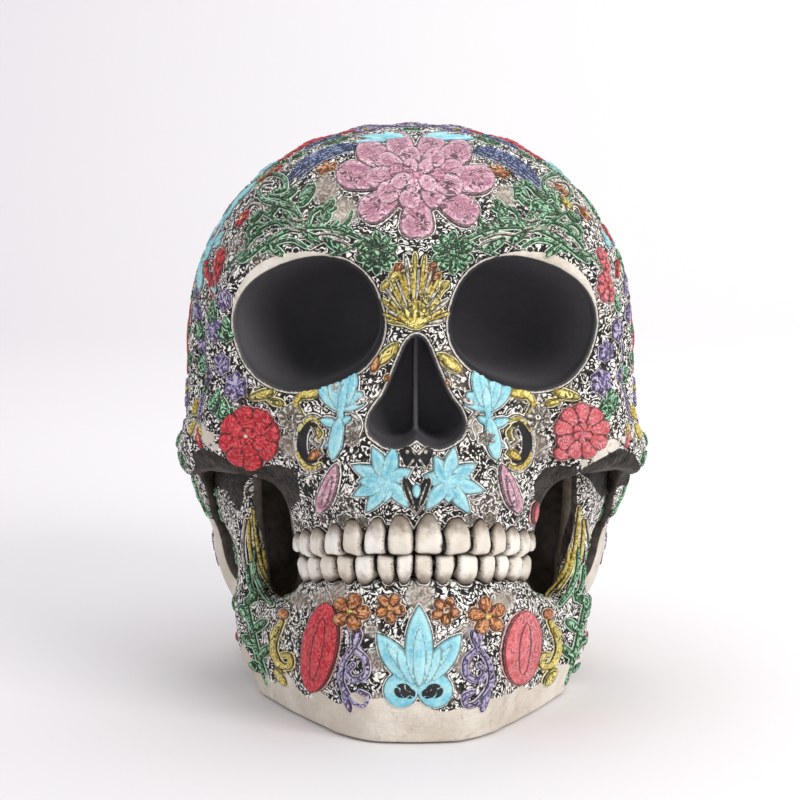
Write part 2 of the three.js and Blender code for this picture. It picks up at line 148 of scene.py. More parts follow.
def pads(x, y, z, c):
    ax = np.abs(x)
    return smax(np.sqrt((ax - c[0]) ** 2 + (y - c[1]) ** 2) - 5.3, z - 1.8, 0.4)


def cranium(x, y, z):
    ax = np.abs(x)
    d = ell(ax, y, z, (0, 15, 99.5), (68.8, 85.5, 69.8), 2.22)
    d = smin(d, ell(ax, y, z, (0, -18, 113.5), (53.5, 50.5, 48.5), 2.15), 20)
    d = smin(d, ell(ax, y, z, (0, 32, 42), (62.5, 42, 45), 2.35), 20)
    d = smax(d, BASE_Z - z, 3)
    d = smax(d, -ell(ax, y, z, (79, -28, 105), (26.0, 29, 27)), 12)
    f = ell(ax, y, z, (0, -36, 113), (54.2, 34.5, 30), 2.7)
    f = smin(f, ell(ax, y, z, (0, -39, 93), (46, 32, 25), 2.3), 12)
    d = smin(d, f, 8)
    d = smin(d, chain(ax, y, z, BROW), 11)
    d = smin(d, chain(ax, y, z, LOWER_RIM), 8)
    d = smin(d, ell(ax, y, z, (46.5, -41.5, 84.5), (15.5, 14.5, 12.5), 2.3), 9)
    d = smin(d, ell(ax, y, z, (53, 16, 70), (13.5, 17, 20), 2.3), 14)
    d = smin(d, ell(ax, y, z, (0, 4, 58), (45, 24, 38), 2.6), 10)
    d = smin(d, ell(ax, y, z, (0, -40, 78), (37.0, 37.5, 20), 2.6), 8)
    rg = smax(archd(ax, y, 34.4, 37.0, -40.0, 2.1), y + 14, 6)
    rg = smax(rg, z - 80, 6)
    rg = smax(rg, (occ(y) + 6.5) - z, 3)
    d = smin(d, rg, 5)
    d = smin(d, chain(ax, y, z, [((0, -64, 133), 8.0), ((0, -70.0, 125), 6.4), ((0, -73.2, 119.0), 4.8)]), 8)
    d = smin(d, chain(ax, y, z, NOSE_RIM), 6)
    d = smax(d, -orbit(ax, y, z), 2.4)
    d = smax(d, -nose(ax, y, z), 1.4)
    d = smin(d, box(ax, y, z, (0, -55, 100), (0.7, 11, 18), 0.6), 1.0)
    d = smax(d, -hollow(ax, y, z), 3.0)
    d = smin(d, chain(ax, y, z, ARCH, s=(1, 1, 0.58)), 4)
    return d


BROW = [((5, -63.5, 134.0), 5.0), ((14, -64.0, 138.6), 4.8), ((25, -62.0, 141.0), 4.6), ((35, -58.6, 139.6), 4.4), ((44, -54.0, 134.4), 4.3), ((50.5, -49.5, 126.5), 4.3), ((53.8, -46.5, 116), 4.4), ((54.0, -45.2, 106), 4.8), ((51.5, -45.5, 97.5), 5.6)]
LOWER_RIM = [((49.5, -47.5, 94.5), 6.2), ((42, -54, 92.6), 5.4), ((33, -59, 92.8), 5.0), ((23, -62.5, 95.0), 4.8), ((15, -65.5, 101), 4.5), ((11.0, -67.5, 110), 4.4), ((9, -68.5, 120), 4.4)]
NOSE_RIM = [((3.5, -74.2, 118), 3.2), ((8.0, -72.2, 108), 3.6), ((13.0, -69.6, 99), 4.0), ((15.6, -68.8, 92), 4.2), ((13.0, -70.8, 85.0), 4.2), ((6, -74.0, 82.8), 4.2), ((0, -76.6, 84.5), 3.2)]
ARCH = [((52, -39, 82.0), 5.6), ((60.5, -31, 79.0), 4.8), ((65.2, -22, 75.6), 4.5), ((66.6, -12, 73.4), 4.5), ((65.8, -1, 73.4), 4.9), ((62, 10, 75.5), 6.0), ((57, 18, 80), 7)]
LO = [(0, -69.0, 7.2), (9, -68.6, 7.2), (17.5, -62.5, 7.2), (24, -52, 7.2), (31, -39.5, 7.2), (38.5, -23.5, 7.2), (41.0, -14, 6.4)]
HI = [(0, -70.5, 6.6), (13, -68.3, 6.6), (23, -60, 6.6), (30.5, -48, 6.6), (36.5, -35, 6.6), (43.0, -21.5, 6.4), (47.5, -9, 6.2)]


def ramus_x(y, z):
    sl = np.interp(z, [0, 20, 39, 48, 57, 70], [0.04, 0.05, 0.08, 0.21, 0.30, 0.34]).astype(f32)
    return 47.2 + sl * (y + 25.0)


def ramus(ax, y, z):
    yc = np.interp(z, [0, 20, 45, 75], [-6, -5, -4, -5.0]).astype(f32)
    hy = np.interp(z, [0, 8, 20, 45, 75], [16, 17.5, 18.5, 17, 17]).astype(f32)
    q = np.abs(ax - ramus_x(y, z)) - 4.6
    rm = smax(smax(q, np.abs(y - yc) - hy, 7), z - 75, 4)
    rm = smax(rm, (6.0 + 0.36 * (y + 20.0)) * 0.94 - z * 0.94, 9)
    return smax(rm, -ell(ax, y, z, (58, -4, 82), (30, 8, 15)), 4)


def mandible(x, y, z):
    ax = np.abs(x)
    b = sweep(ax, y, z, LO, HI, 34.0)
    top = np.interp(y, [-80, -62, -45, -30, -15, 0], [41, 40, 36, 31.5, 27, 25]).astype(f32)
    body = smax(b, z - top, 6)
    body = smin(body, ell(ax, y, z, (0, -67.0, 18), (19, 9.4, 24), 2.3), 12)
    rg = smax(archd(ax, y, 33.4, 36.0, -40.0, 2.1), -archd(ax, y, 24.0, 27.0, -40.0, 2.1), 4)
    rg = smax(rg, y + 26, 5)
    rg = smax(rg, z - (occ(y) - 7.0), 3)
    rg = smax(rg, 22 - z, 4)
    body = smin(body, rg, 6)
    m = smin(body, ramus(ax, y, z), 8)
    m = smax(m, BASE_Z - z, 1.2)
    return smax(m, -pads(x, y, z, (24, -52)), 0.5)


def cranium_piece(x, y, z):
    """The cranium with its seats for the jaw, the plug and the felt pads."""
    d = cranium(x, y, z)
    ax = np.abs(x)
    near = (ax > 44) & (z > 48) & (z < 80) & (y > -28) & (y < 20)
    if near.any():
        seat = np.full(np.shape(d), 9.0, f32)
        seat[near] = ramus(ax[near], y[near], z[near])
        d = np.maximum(d, 0.35 - seat)
    d = smax(d, -pads(x, y, z, (23, 37)), 0.5)
    hole = smax(np.sqrt(x * x + (y - 34) ** 2) - 11.8, z - 9.0, 0.6)
    return smax(d, -hole, 0.6)


# teeth: places where one ends and the next starts, as angles round the arch, and crown heights
UP_B = [0, 12.3, 25.0, 36.7, 48.6, 60, 72, 85]
LO_B = [0, 8.9, 18.3, 30.0, 41, 52, 64.5, 82]
UP_H = [10.6, 9.8, 10.2, 9.4, 9.0, 8.6, 8.2]
LO_H = [8.4, 8.4, 9.0, 8.4, 8.0, 7.8, 7.6]


def tooth_list():
    out = []
    for row, (B, Hh, a, b) in enumerate(((UP_B, UP_H, 36.0, 40.2), (LO_B, LO_H, 34.8, 38.6))):
        for i in range(7):
            t0, t1 = math.radians(B[i]), math.radians(B[i + 1])
            tm = 0.5 * (t0 + t1)
            p0 = np.array([a * math.sin(t0), -40.2 - b * math.cos(t0)])
            p1 = np.array([a * math.sin(t1), -40.2 - b * math.cos(t1)])
            w = float(np.linalg.norm(p1 - p0))
            pm = np.array([a * math.sin(tm), -40.2 - b * math.cos(tm)])
            tg = (p1 - p0) / w
            nr = np.array([tg[1], -tg[0]])
            if np.dot(nr, pm - np.array([0, -40.2])) < 0:
                nr = -nr
            out.append(dict(row=row, i=i, p=pm, tg=tg, nr=nr, w=w, h=Hh[i]))
    return out


TEETH = tooth_list()


def one_tooth(T, x, y, z):
    px, py = T["p"]
    thick = 3.2 + 0.35 * T["i"] if T["i"] < 4 else 4.6
    X, Y = x - (px - T["nr"][0] * thick), y - (py - T["nr"][1] * thick)
    u = X * T["tg"][0] + Y * T["tg"][1]
    v = X * T["nr"][0] + Y * T["nr"][1]
    o = occ(py)
    w = (z - o) / T["h"] if T["row"] == 0 else (o - 0.35 - z) / T["h"]
    hw = T["w"] * 0.5 * (0.985 - 0.44 * np.clip(w, 0, 1.3) ** 1.8 - 0.05 * np.clip(0.12 - w, 0, 1) * 5)
    vv = v + 1.8 * (np.clip(w, -0.2, 1.4) - 0.45) ** 2
    # slight furrows down the front of each crown
    vv = vv + 0.16 * np.cos(u * (6.0 / T["w"]) * 1.57) * np.clip(1 - w, 0, 1)
    # the biting end is square, the end at the gum round
    e = np.abs(w - 0.5) / 0.545
    ends = np.where(w > 0.5, e**2.2, e**5.0)
    k = ((np.abs(u) / hw) ** 3.5 + (np.abs(vv) / thick) ** 3.5 + ends + 1e-9) ** (1 / 3.5)
    return (k - 1) * np.minimum(hw, thick) * 0.9


# the hand-cut rows aren't quite regular: how far the teeth of each row stand off a mirrored place
OFF_X = (
    ((-36, -26, -20.7, -14.6, -7.4, 0, 7.4, 14.6, 20.7, 26, 36), (0, 0, -0.15, -0.3, -1.0, -0.7, 0.4, 0.95, 0.65, -0.2, 0)),
    ((-36, -27, -22.8, -17.4, -10.9, -5.4, 0, 5.4, 10.9, 17.4, 22.8, 29, 36), (0, -0.5, -0.8, -0.55, -0.95, -0.7, -0.55, -0.4, 0.8, 1.05, 0.7, 0.4, 0)),
)


def uneven(x, z, row):
    out = np.clip((36.0 - np.abs(x)) / 10.0, 0, 1)
    dx = np.interp(x, *OFF_X[row]) + out * 0.04 * (z - 56.0) * np.sin(0.47 * x + 0.5 + 1.7 * row)
    dz = out * 0.24 * np.sin(0.55 * x + 0.4 + 1.3 * row)
    return dx, dz


def teeth(row):
    rows = [T for T in TEETH if T["row"] == row]

    def field(x, y, z):
        ax = np.abs(x)
        d = None
        for T in rows:
            e = one_tooth(T, ax, y, z)
            d = e if d is None else np.minimum(d, e)
        return d

    return field


# ---------------------------------------------------------------- meshes from the fields
def fill_grid(fn, lo, hi, h):
    nx = int(math.ceil(hi[0] / h))
    xs = (np.arange(nx + 1) * h).astype(f32)
    ys = np.arange(lo[1], hi[1] + h, h, dtype=f32)
    zs = np.arange(lo[2], hi[2] + h, h, dtype=f32)
    out = np.empty((len(xs), len(ys), len(zs)), f32)
    for i in range(0, len(xs), 8):
        X, Y, Z = np.meshgrid(xs[i : i + 8], ys, zs, indexing="ij")
        out[i : i + 8] = fn(X, Y, Z)
    return np.concatenate([out[:0:-1], out], 0), np.array([-nx * h, ys[0], zs[0]], float)


def surface_nets(g, origin, h):
    nx, ny, nz = g.shape
    ins = g < 0
    c = np.zeros((nx - 1, ny - 1, nz - 1), np.int8)
    for i in (0, 1):
        for j in (0, 1):
            for k in (0, 1):
                c += ins[i : nx - 1 + i, j : ny - 1 + j, k : nz - 1 + k]
    mixed = (c > 0) & (c < 8)
    idx = np.argwhere(mixed)
    ids = -np.ones(mixed.shape, np.int64)
    ids[tuple(idx.T)] = np.arange(len(idx))
    acc, cnt = np.zeros((len(idx), 3)), np.zeros(len(idx))
    I, J, K = idx.T
    for a in range(3):
        b = [q for q in range(3) if q != a]
        for o1 in (0, 1):
            for o2 in (0, 1):
                s = [0, 0, 0]
                s[b[0]], s[b[1]] = o1, o2
                e = list(s)
                e[a] = 1
                v0, v1 = g[I + s[0], J + s[1], K + s[2]], g[I + e[0], J + e[1], K + e[2]]
                m = (v0 < 0) != (v1 < 0)
                t = np.where(m, v0 / (v0 - v1 + 1e-20), 0)
                p = np.zeros((len(idx), 3))
                for q in range(3):
                    p[:, q] = s[q]
                p[:, a] += t
                acc[m] += p[m]
                cnt[m] += 1
    V = origin + (idx + acc / cnt[:, None]) * h
    quads = []
    for a in range(3):
        b, cx = [(1, 2), (2, 0), (0, 1)][a]
        s0, s1 = [slice(None)] * 3, [slice(None)] * 3
        s0[a], s1[a] = slice(0, -1), slice(1, None)
        A = ins[tuple(s0)]
        q = np.argwhere(A != ins[tuple(s1)])
        q = q[(q[:, b] > 0) & (q[:, cx] > 0) & (q[:, b] < g.shape[b] - 1) & (q[:, cx] < g.shape[cx] - 1)]
        sign = A[tuple(q.T)]

        def cell(db, dc):
            w = q.copy()
            w[:, b] -= db
            w[:, cx] -= dc
            return ids[tuple(w.T)]

        f = np.stack([cell(1, 1), cell(0, 1), cell(0, 0), cell(1, 0)], 1)
        f[~sign] = f[~sign][:, ::-1]
        quads.append(f)
    return V, np.concatenate(quads)


def split_quads(V, Q):
    """Each quad becomes four."""
    E = np.concatenate([Q[:, [0, 1]], Q[:, [1, 2]], Q[:, [2, 3]], Q[:, [3, 0]]])
    E.sort(axis=1)
    key = E[:, 0] * len(V) + E[:, 1]
    u, inv = np.unique(key, return_inverse=True)
    a, b = u // len(V), u % len(V)
    n, m, q = len(V), len(u), len(Q)
    mid = (inv + n).reshape(4, q).T
    cen = np.arange(q) + n + m
    W = np.concatenate([V, (V[a] + V[b]) / 2, V[Q].mean(1)])
    F = np.concatenate([np.stack([Q[:, i], mid[:, i], cen, mid[:, (i - 1) % 4]], 1) for i in range(4)])
    return W, F


TETRA = np.array([[1, -1, -1], [-1, -1, 1], [-1, 1, -1], [1, 1, 1]], f32)


def slope(fn, P, e=0.08):
    """Value and gradient of a field at points."""
    g = np.zeros(P.shape, f32)
    val = np.zeros(len(P), f32)
    for i in range(0, len(P), 150000):
        p = P[i : i + 150000].astype(f32)
        for s in TETRA:
            w = fn(p[:, 0] + s[0] * e, p[:, 1] + s[1] * e, p[:, 2] + s[2] * e)
            g[i : i + 150000] += s * w[:, None]
            val[i : i + 150000] += w * 0.25
    return val, g / (4 * e)


def settle(fn, V, rounds=2, most=0.8):
    for _ in range(rounds):
        d, g = slope(fn, V)
        s = np.clip(d / np.maximum((g * g).sum(1), 0.15), -most, most)
        V = V - g * s[:, None]
    return V


def quad_normals(V, Q):
    n = np.cross(V[Q[:, 2]] - V[Q[:, 0]], V[Q[:, 3]] - V[Q[:, 1]])
    N = np.zeros_like(V)
    for i in range(4):
        for k in range(3):
            N[:, k] += np.bincount(Q[:, i], n[:, k], len(V))
    return N / (np.linalg.norm(N, axis=1)[:, None] + 1e-12)


def make_mesh(name, V, Q, attrs=None):
    """A Blender object from millimetre points in the working frame."""
    me = bpy.data.meshes.new(name)
    P = (V + np.array([0, SHIFT_Y, 0])) / 1000.0
    me.vertices.add(len(P))
    me.vertices.foreach_set("co", P.astype(f32).ravel())
    n = Q.shape[1]
    me.loops.add(len(Q) * n)
    me.loops.foreach_set("vertex_index", Q.astype(np.int32).ravel())
    me.polygons.add(len(Q))
    me.polygons.foreach_set("loop_start", np.arange(0, len(Q) * n, n, dtype=np.int32))
    me.polygons.foreach_set("use_smooth", np.ones(len(Q), bool))
    me.update(calc_edges=True)
    me.validate()
    for k, a in (attrs or {}).items():
        me.attributes.new(k, "FLOAT", "POINT").data.foreach_set("value", np.asarray(a, f32))
    o = bpy.data.objects.new(name, me)
    bpy.context.scene.collection.objects.link(o)
    return o


# ---------------------------------------------------------------- the camera that the photograph was taken from
CAM_F, CAM_EL, CAM_AZ = 2752.0, math.radians(9.0), math.radians(-0.8)
CAM_X0, CAM_D, CAM_Z = -3.5, 835.0, 219.0
C_POS = np.array([CAM_D * math.sin(CAM_AZ) + CAM_X0 * math.cos(CAM_AZ), -CAM_D * math.cos(CAM_AZ) + CAM_X0 * math.sin(CAM_AZ), CAM_Z])
C_FWD = np.array([-math.sin(CAM_AZ) * math.cos(CAM_EL), math.cos(CAM_AZ) * math.cos(CAM_EL), -math.sin(CAM_EL)])
C_RIGHT = np.array([math.cos(CAM_AZ), math.sin(CAM_AZ), 0.0])
C_UP = np.cross(C_RIGHT, C_FWD)
SC = 3.55  # pixels of the photograph to a millimetre on the face


def to_px(V):
    d = V - C_POS
    z = d @ C_FWD
    return 400 + CAM_F * (d @ C_RIGHT) / z, 400 - CAM_F * (d @ C_UP) / z


def march(fn, o, d, far=1100.0):
    o, d = np.array(o, float), np.array(d, float)
    d /= np.linalg.norm(d)
    t = 0.0
    for _ in range(400):
        p = o + d * t
        s = float(fn(*(np.array([c], f32) for c in p))[0])
        if s < 0.03:
            return p
        t += max(s * 0.75, 0.02)
        if t > far:
            return None
    return p


def hit_px(fn, x, y):
    d = C_FWD + C_RIGHT * ((x - 400) / CAM_F) + C_UP * ((400 - y) / CAM_F)
    p = march(fn, C_POS + d * 650, d, 300.0)
    return p


# ---------------------------------------------------------------- painted relief
COLOURS = ["pink", "rose", "sky", "green", "red", "yellow", "orange", "purple", "navy", "bone", "black", "ground"]
CI = {c: i for i, c in enumerate(COLOURS)}


class Skin:
    """The fine surface of one casting: heights and paint, kept on its points."""

    def __init__(self, fn, V, N, mask):
        self.fn, self.V, self.N, self.mask = fn, V, N, mask
        n = len(V)
        self.S = np.full((len(COLOURS), n), 6.0, f32)
        self.H = np.zeros(n, f32)
        self.E = np.full(n, 4.0, f32)
        self.T = np.full(n, 3.0, f32)
        self.px, self.py = to_px(V)
        to = C_POS - V
        self.face = (N * (to / np.linalg.norm(to, axis=1)[:, None])).sum(1)

    def photo(self, cx, cy, rx, ry=None, least=0.1, depth=None):
        """A patch in the photograph's plane, with its middle at that pixel."""
        ry = ry or rx
        m = (np.abs(self.px - cx) < rx) & (np.abs(self.py - cy) < ry) & (self.face > least) & self.mask
        if depth is not None:
            m &= (self.V[:, 1] > depth[0]) & (self.V[:, 1] < depth[1])
        idx = np.nonzero(m)[0]
        return Patch(self, idx, (self.px[idx] - cx) / SC, -(self.py[idx] - cy) / SC, cx, cy)

    def local(self, P, r, up=None, turn=0.0, flip=1, deep=None):
        """A patch on the tangent plane at P."""
        if P is None:
            return Patch(self, np.zeros(0, int), np.zeros(0), np.zeros(0), 0, 0)
        P = np.array(P, float)
        _, g = slope(self.fn, P[None])
        N = g[0] / np.linalg.norm(g[0])
        if up is None:
            up = (0, 0, 1) if abs(N[2]) < 0.8 else (0, 1, 0)
        U = np.array(up, float)
        U = U - N * (U @ N)
        U /= np.linalg.norm(U)
        R = np.cross(U, N)
        if turn:
            c, s = math.cos(math.radians(turn)), math.sin(math.radians(turn))
            U, R = U * c + R * s, R * c - U * s
        D = self.V - P
        m = (np.abs(D[:, 0]) < r) & (np.abs(D[:, 1]) < r) & (np.abs(D[:, 2]) < r) & self.mask
        idx = np.nonzero(m)[0]
        D = D[idx]
        h = D @ N
        k = (self.N[idx] @ N > 0.30) & (np.abs(h) < (deep or 0.6 * r))
        idx, D, h = idx[k], D[k], h[k]
        u, v = D @ R, D @ U
        # walk along the surface, not across it
        q = np.sqrt(u * u + v * v)
        stretch = np.where(q > 1e-3, np.sqrt(q * q + h * h) / np.maximum(q, 1e-3), 1)
        return Patch(self, idx, u * stretch * flip, v * stretch, 0, 0)


class Patch:
    small = False

    def __init__(self, skin, idx, u, v, cx, cy):
        self.k, self.i, self.u, self.v, self.cx, self.cy = skin, idx, u, v, cx, cy

    def at(self, x, y):
        return ((x - self.cx) / SC, -(y - self.cy) / SC)

    def near(self, c, r):
        m = (np.abs(self.u - c[0]) < r) & (np.abs(self.v - c[1]) < r)
        sub = Patch(self.k, self.i[m], self.u[m], self.v[m], self.cx, self.cy)
        sub.small = True
        return sub

    def put(self, colour, d, h, edge=True, t=None, add=False):
        k = self.k
        m = d < 2.2
        if not m.any():
            return
        ii, dd = self.i[m], d[m].astype(f32)
        c = CI[colour]
        old = k.S[c, ii].copy()
        k.S[:, ii] = np.maximum(k.S[:, ii], -dd)
        k.S[c, ii] = np.minimum(old, dd)
        s = dd < 0.1
        jj = ii[s]
        hh = h[m][s].astype(f32)
        k.H[jj] = k.H[jj] + hh if add else np.maximum(k.H[jj], hh)
        k.E[jj] = -dd[s] if edge else 3.0
        k.T[jj] = t[m][s] if t is not None else 3.0

    # ---- shapes, in millimetres on the patch
    def petal(self, c, ang, L, W, colour, h=0.9, wide=0.58, tip=0.5, base=0.6, edge=True, vein=False, bend=0.0, cup=0.0):
        if not self.small and len(self.u) > 4000:
            return self.near(c, L + 3.0).petal(c, ang, L, W, colour, h, wide, tip, base, edge, vein, bend, cup)
        if not len(self.u):
            return
        a = math.radians(ang)
        ca, sa = math.cos(a), math.sin(a)
        s = (self.u - c[0]) * ca + (self.v - c[1]) * sa
        t = -(self.u - c[0]) * sa + (self.v - c[1]) * ca
        if bend:
            t = t - bend * (np.clip(s / L, 0, 1.2) ** 2) * L
        q = np.clip(s / L, 0, 1)
        e = np.where(q < wide, q / wide, (1 - q) / (1 - wide))
        f = np.clip(1 - (1 - e) ** 2, 0, 1)
        f = np.where(q < wide, f**base, f**tip)
        w = np.maximum(W * f, 1e-3)
        over = np.maximum(-s, s - L)
        dt = np.abs(t) - w
        d = np.where(over > 0, np.hypot(np.maximum(dt, 0), over), np.maximum(dt * 0.9, -np.minimum(s, L - s) * 1.0))
        r = np.clip(np.abs(t) / w, 0, 1)
        dome = np.sqrt(np.clip(1 - r * r, 0, 1))
        if cup:
            dome = dome * (1 - cup) + cup * np.clip(r, 0, 1) * np.sqrt(np.clip((1 - r) * 8, 0, 1))
        ends = np.clip(np.minimum(s, L - s) / (0.18 * L), 0, 1) ** 0.5
        hh = h * (0.42 + 0.58 * dome * (0.35 + 0.65 * ends))
        tt = np.clip(t / w, -1.5, 1.5) if vein else None
        if vein:
            hh = hh - 0.16 * np.exp(-((t / 0.32) ** 2)) * (q > 0.08) * (q < 0.92)
        self.put(colour, d, hh, edge, tt)

    def stroke(self, pts, w0, w1, colour, h=0.8, closed=False, wm=None, edge=False):
        """A brushed line through points; its half width runs w0, wm, w1."""
        P = smooth_line(pts)
        n = len(P)
        L = np.concatenate([[0], np.cumsum(np.linalg.norm(P[1:] - P[:-1], axis=1))])
        L /= max(L[-1], 1e-6)
        if wm is None:
            W = w0 + (w1 - w0) * L
        else:
            W = np.where(L < 0.5, w0 + (wm - w0) * np.sin(L * math.pi), w1 + (wm - w1) * np.sin(L * math.pi))
        lo, hi = P.min(0) - 3, P.max(0) + 3
        near = (self.u > lo[0]) & (self.u < hi[0]) & (self.v > lo[1]) & (self.v < hi[1])
        if not near.any():
            return
        u, v = self.u[near], self.v[near]
        best = np.full(len(u), 99.0)
        rel = np.full(len(u), 9.0)
        for i in range(n - 1):
            ax, ay = P[i]
            dx, dy = P[i + 1] - P[i]
            ll = dx * dx + dy * dy + 1e-12
            t = np.clip(((u - ax) * dx + (v - ay) * dy) / ll, 0, 1)
            w = W[i] + (W[i + 1] - W[i]) * t
            dist = np.hypot(u - ax - t * dx, v - ay - t * dy)
            e = dist - w
            m = e < best
            best = np.where(m, e, best)
            rel = np.where(m, dist / np.maximum(w, 0.05), rel)
        d = np.full(len(self.u), 9.0)
        d[near] = best
        hh = np.zeros(len(self.u))
        hh[near] = h * (0.45 + 0.55 * np.sqrt(np.clip(1 - rel * rel, 0, 1)))
        self.put(colour, d, hh, edge)

    def disc(self, c, r, colour, h=0.9, squash=1.0, edge=False, flat=0.0):
        if not self.small and len(self.u) > 4000:
            return self.near(c, r + 3.0).disc(c, r, colour, h, squash, edge, flat)
        q = np.hypot(self.u - c[0], (self.v - c[1]) / squash)
        dome = np.sqrt(np.clip(1 - (q / r) ** 2, 0, 1))
        self.put(colour, q - r, h * (flat + (1 - flat) * (0.3 + 0.7 * dome)), edge)

    def ring(self, c, r, w, colour, h=0.7, squash=1.0):
        q = np.hypot(self.u - c[0], (self.v - c[1]) / squash)
        e = np.abs(q - r)
        self.put(colour, e - w, h * (0.45 + 0.55 * np.sqrt(np.clip(1 - (e / w) ** 2, 0, 1))), False)

    def spiral(self, c, r, a0, turns, colour, w=0.55, h=0.8, way=1, tail=None):
        k = int(14 * abs(turns)) + 4
        pts = []
        for i in range(k):
            f = i / (k - 1)
            a = math.radians(a0) + way * f * turns * 2 * math.pi
            rr = r * (1 - 0.82 * f)
            pts.append((c[0] + rr * math.cos(a), c[1] + rr * math.sin(a)))
        if tail is not None:
            pts = [tail] + pts
        self.stroke(pts, w * 0.7, w * 1.1, colour, h, wm=w * 1.15)
        self.disc(pts[-1], w * 1.5, colour, h * 1.15)

    def flower(self, c, R, n, colour, rot=90.0, W=None, h=0.9, inner=0.1, tip=0.5, mid=None, dot=0.2, vein=False, squash=1.0, wide=0.62, base=0.7):
        W = W or math.pi * R * 0.60 / n
        for k in range(n):
            a = rot + 360.0 * k / n
            dx, dy = math.cos(math.radians(a)), math.sin(math.radians(a)) * squash
            L = math.hypot(dx, dy) * R
            self.petal((c[0] + dx * R * inner, c[1] + dy * R * inner), math.degrees(math.atan2(dy, dx)), L * (1 - inner), W * (0.8 + 0.2 * L / R), colour, h, wide, tip, base, vein=vein)
        if mid:
            self.disc(c, R * dot, mid, h * 1.25, squash)

    def leafy(self, pts, w, colour, n=4, L=3.2, W=1.1, h=0.8, side=0, lean=40, leafcol=None, end=True):
        """A vine with leaves on both sides."""
        self.stroke(pts, w, w * 0.6, colour, h)
        P = smooth_line(pts)
        for k in range(n):
            f = (k + 0.6) / n
            j = min(int(f * (len(P) - 1)), len(P) - 2)
            d = P[j + 1] - P[j]
            a = math.degrees(math.atan2(d[1], d[0]))
            for sg in (1, -1):
                if side and sg != side:
                    continue
                q = P[j] if sg > 0 else P[min(j + 1, len(P) - 1)]
                self.petal(q, a + sg * lean, L * (1 - 0.25 * f), W, leafcol or colour, h * 1.05, 0.45, 0.8, 0.7, edge=False)
        if end:
            d = P[-1] - P[-3]
            self.petal(P[-1], math.degrees(math.atan2(d[1], d[0])), L, W, leafcol or colour, h, 0.45, 0.8, 0.7, edge=False)


def smooth_line(pts, per=6):
    P = np.array(pts, float)
    if len(P) < 3:
        t = np.linspace(0, 1, 5)[:, None]
        return P[0] * (1 - t) + P[-1] * t
    A = np.concatenate([[2 * P[0] - P[1]], P, [2 * P[-1] - P[-2]]])
    out = []
    for i in range(1, len(A) - 2):
        for j in range(per):
            t = j / per
            out.append(0.5 * ((2 * A[i]) + (A[i + 1] - A[i - 1]) * t + (2 * A[i - 1] - 5 * A[i] + 4 * A[i + 1] - A[i + 2]) * t * t + (3 * A[i] - A[i - 1] - 3 * A[i + 1] + A[i + 2]) * t**3))
    out.append(P[-1])
    return np.array(out)


# ---------------------------------------------------------------- engraved ground
def random_field(V, seed, wave, spread=0.22, n=40):
    """Sum of plane waves of nearly one length, about 1 in size: its zero lines wander like engraving."""
    r = np.random.RandomState(seed)
    out = np.zeros(len(V), f32)
    k = r.normal(size=(n, 3))
    k /= np.linalg.norm(k, axis=1)[:, None]
    k *= (2 * math.pi / wave) * (1 + spread * r.uniform(-1, 1, n))[:, None]
    ph = r.uniform(0, 2 * math.pi, n)
    for i in range(0, len(V), 60000):
        out[i : i + 60000] = np.cos(V[i : i + 60000].astype(f32) @ k.T.astype(f32) + ph.astype(f32)).sum(1)
    return out * math.sqrt(2.0 / n)


def step01(x, a, b):
    t = np.clip((x - a) / (b - a), 0, 1)
    return t * t * (3 - 2 * t)


# ---------------------------------------------------------------- figures
def pl(p, b, t, W, colour, **kw):
    """A petal between two pixels of the photograph; W is its half width in pixels."""
    b, t = p.at(*b), p.at(*t)
    dx, dy = t[0] - b[0], t[1] - b[1]
    p.petal(b, math.degrees(math.atan2(dy, dx)), math.hypot(dx, dy), W / SC, colour, **kw)


def st(p, pts, w0, w1, colour, **kw):
    if "wm" in kw:
        kw["wm"] = kw["wm"] / SC
    p.stroke([p.at(*q) for q in pts], w0 / SC, w1 / SC, colour, **kw)


def dot(p, x, y, r, colour, **kw):
    p.disc(p.at(x, y), r / SC, colour, **kw)


def fl(p, x, y, R, n, colour, **kw):
    p.flower(p.at(x, y), R / SC, n, colour, **kw)


def mir(pts, m=829.0):
    return [(m - x, y) for x, y in pts]


def small_flower(p, R, col, mid, n=5, rot=90.0, c=(0, 0)):
    p.flower(c, R, n, col, rot=rot, h=0.8, mid=mid, dot=0.26, W=R * 0.34)


def big_flower(p, R, col, in_col, mid, n=9, rot=90.0):
    p.flower((0, 0), R, n, col, rot=rot, h=0.85, W=math.pi * R * 0.70 / n, vein=True, inner=0.3)
    p.flower((0, 0), R * 0.66, n - 1, in_col, rot=rot + 18, h=1.15, W=math.pi * R * 0.46 / n, inner=0.2)
    p.flower((0, 0), R * 0.36, 6, col, rot=rot + 5, h=1.4, inner=0.1)
    p.disc((0, 0), R * 0.12, mid, 1.6)


def rose(p, R, col, mid, n=8, rot=80.0):
    p.flower((0, 0), R, n, col, rot=rot, h=0.9, W=math.pi * R * 0.72 / n, inner=0.35, wide=0.68)
    p.flower((0, 0), R * 0.62, 6, col, rot=rot + 22, h=1.2, W=R * 0.28, inner=0.2, wide=0.66)
    p.flower((0, 0), R * 0.32, 5, col, rot=rot, h=1.5, W=R * 0.16, inner=0.05)
    p.disc((0, 0), R * 0.09, mid, 1.6)


def line_flower(p, R, col, n=9, rot=90.0, c=(0, 0)):
    for k in range(n):
        a = rot + 360.0 * k / n
        q = (c[0] + 0.24 * R * math.cos(math.radians(a)), c[1] + 0.24 * R * math.sin(math.radians(a)))
        p.petal(q, a, R * 0.76, R * 0.15, col, 0.7, 0.66, 0.5, 0.9, vein=True)
    p.disc(c, R * 0.15, col, 0.9)


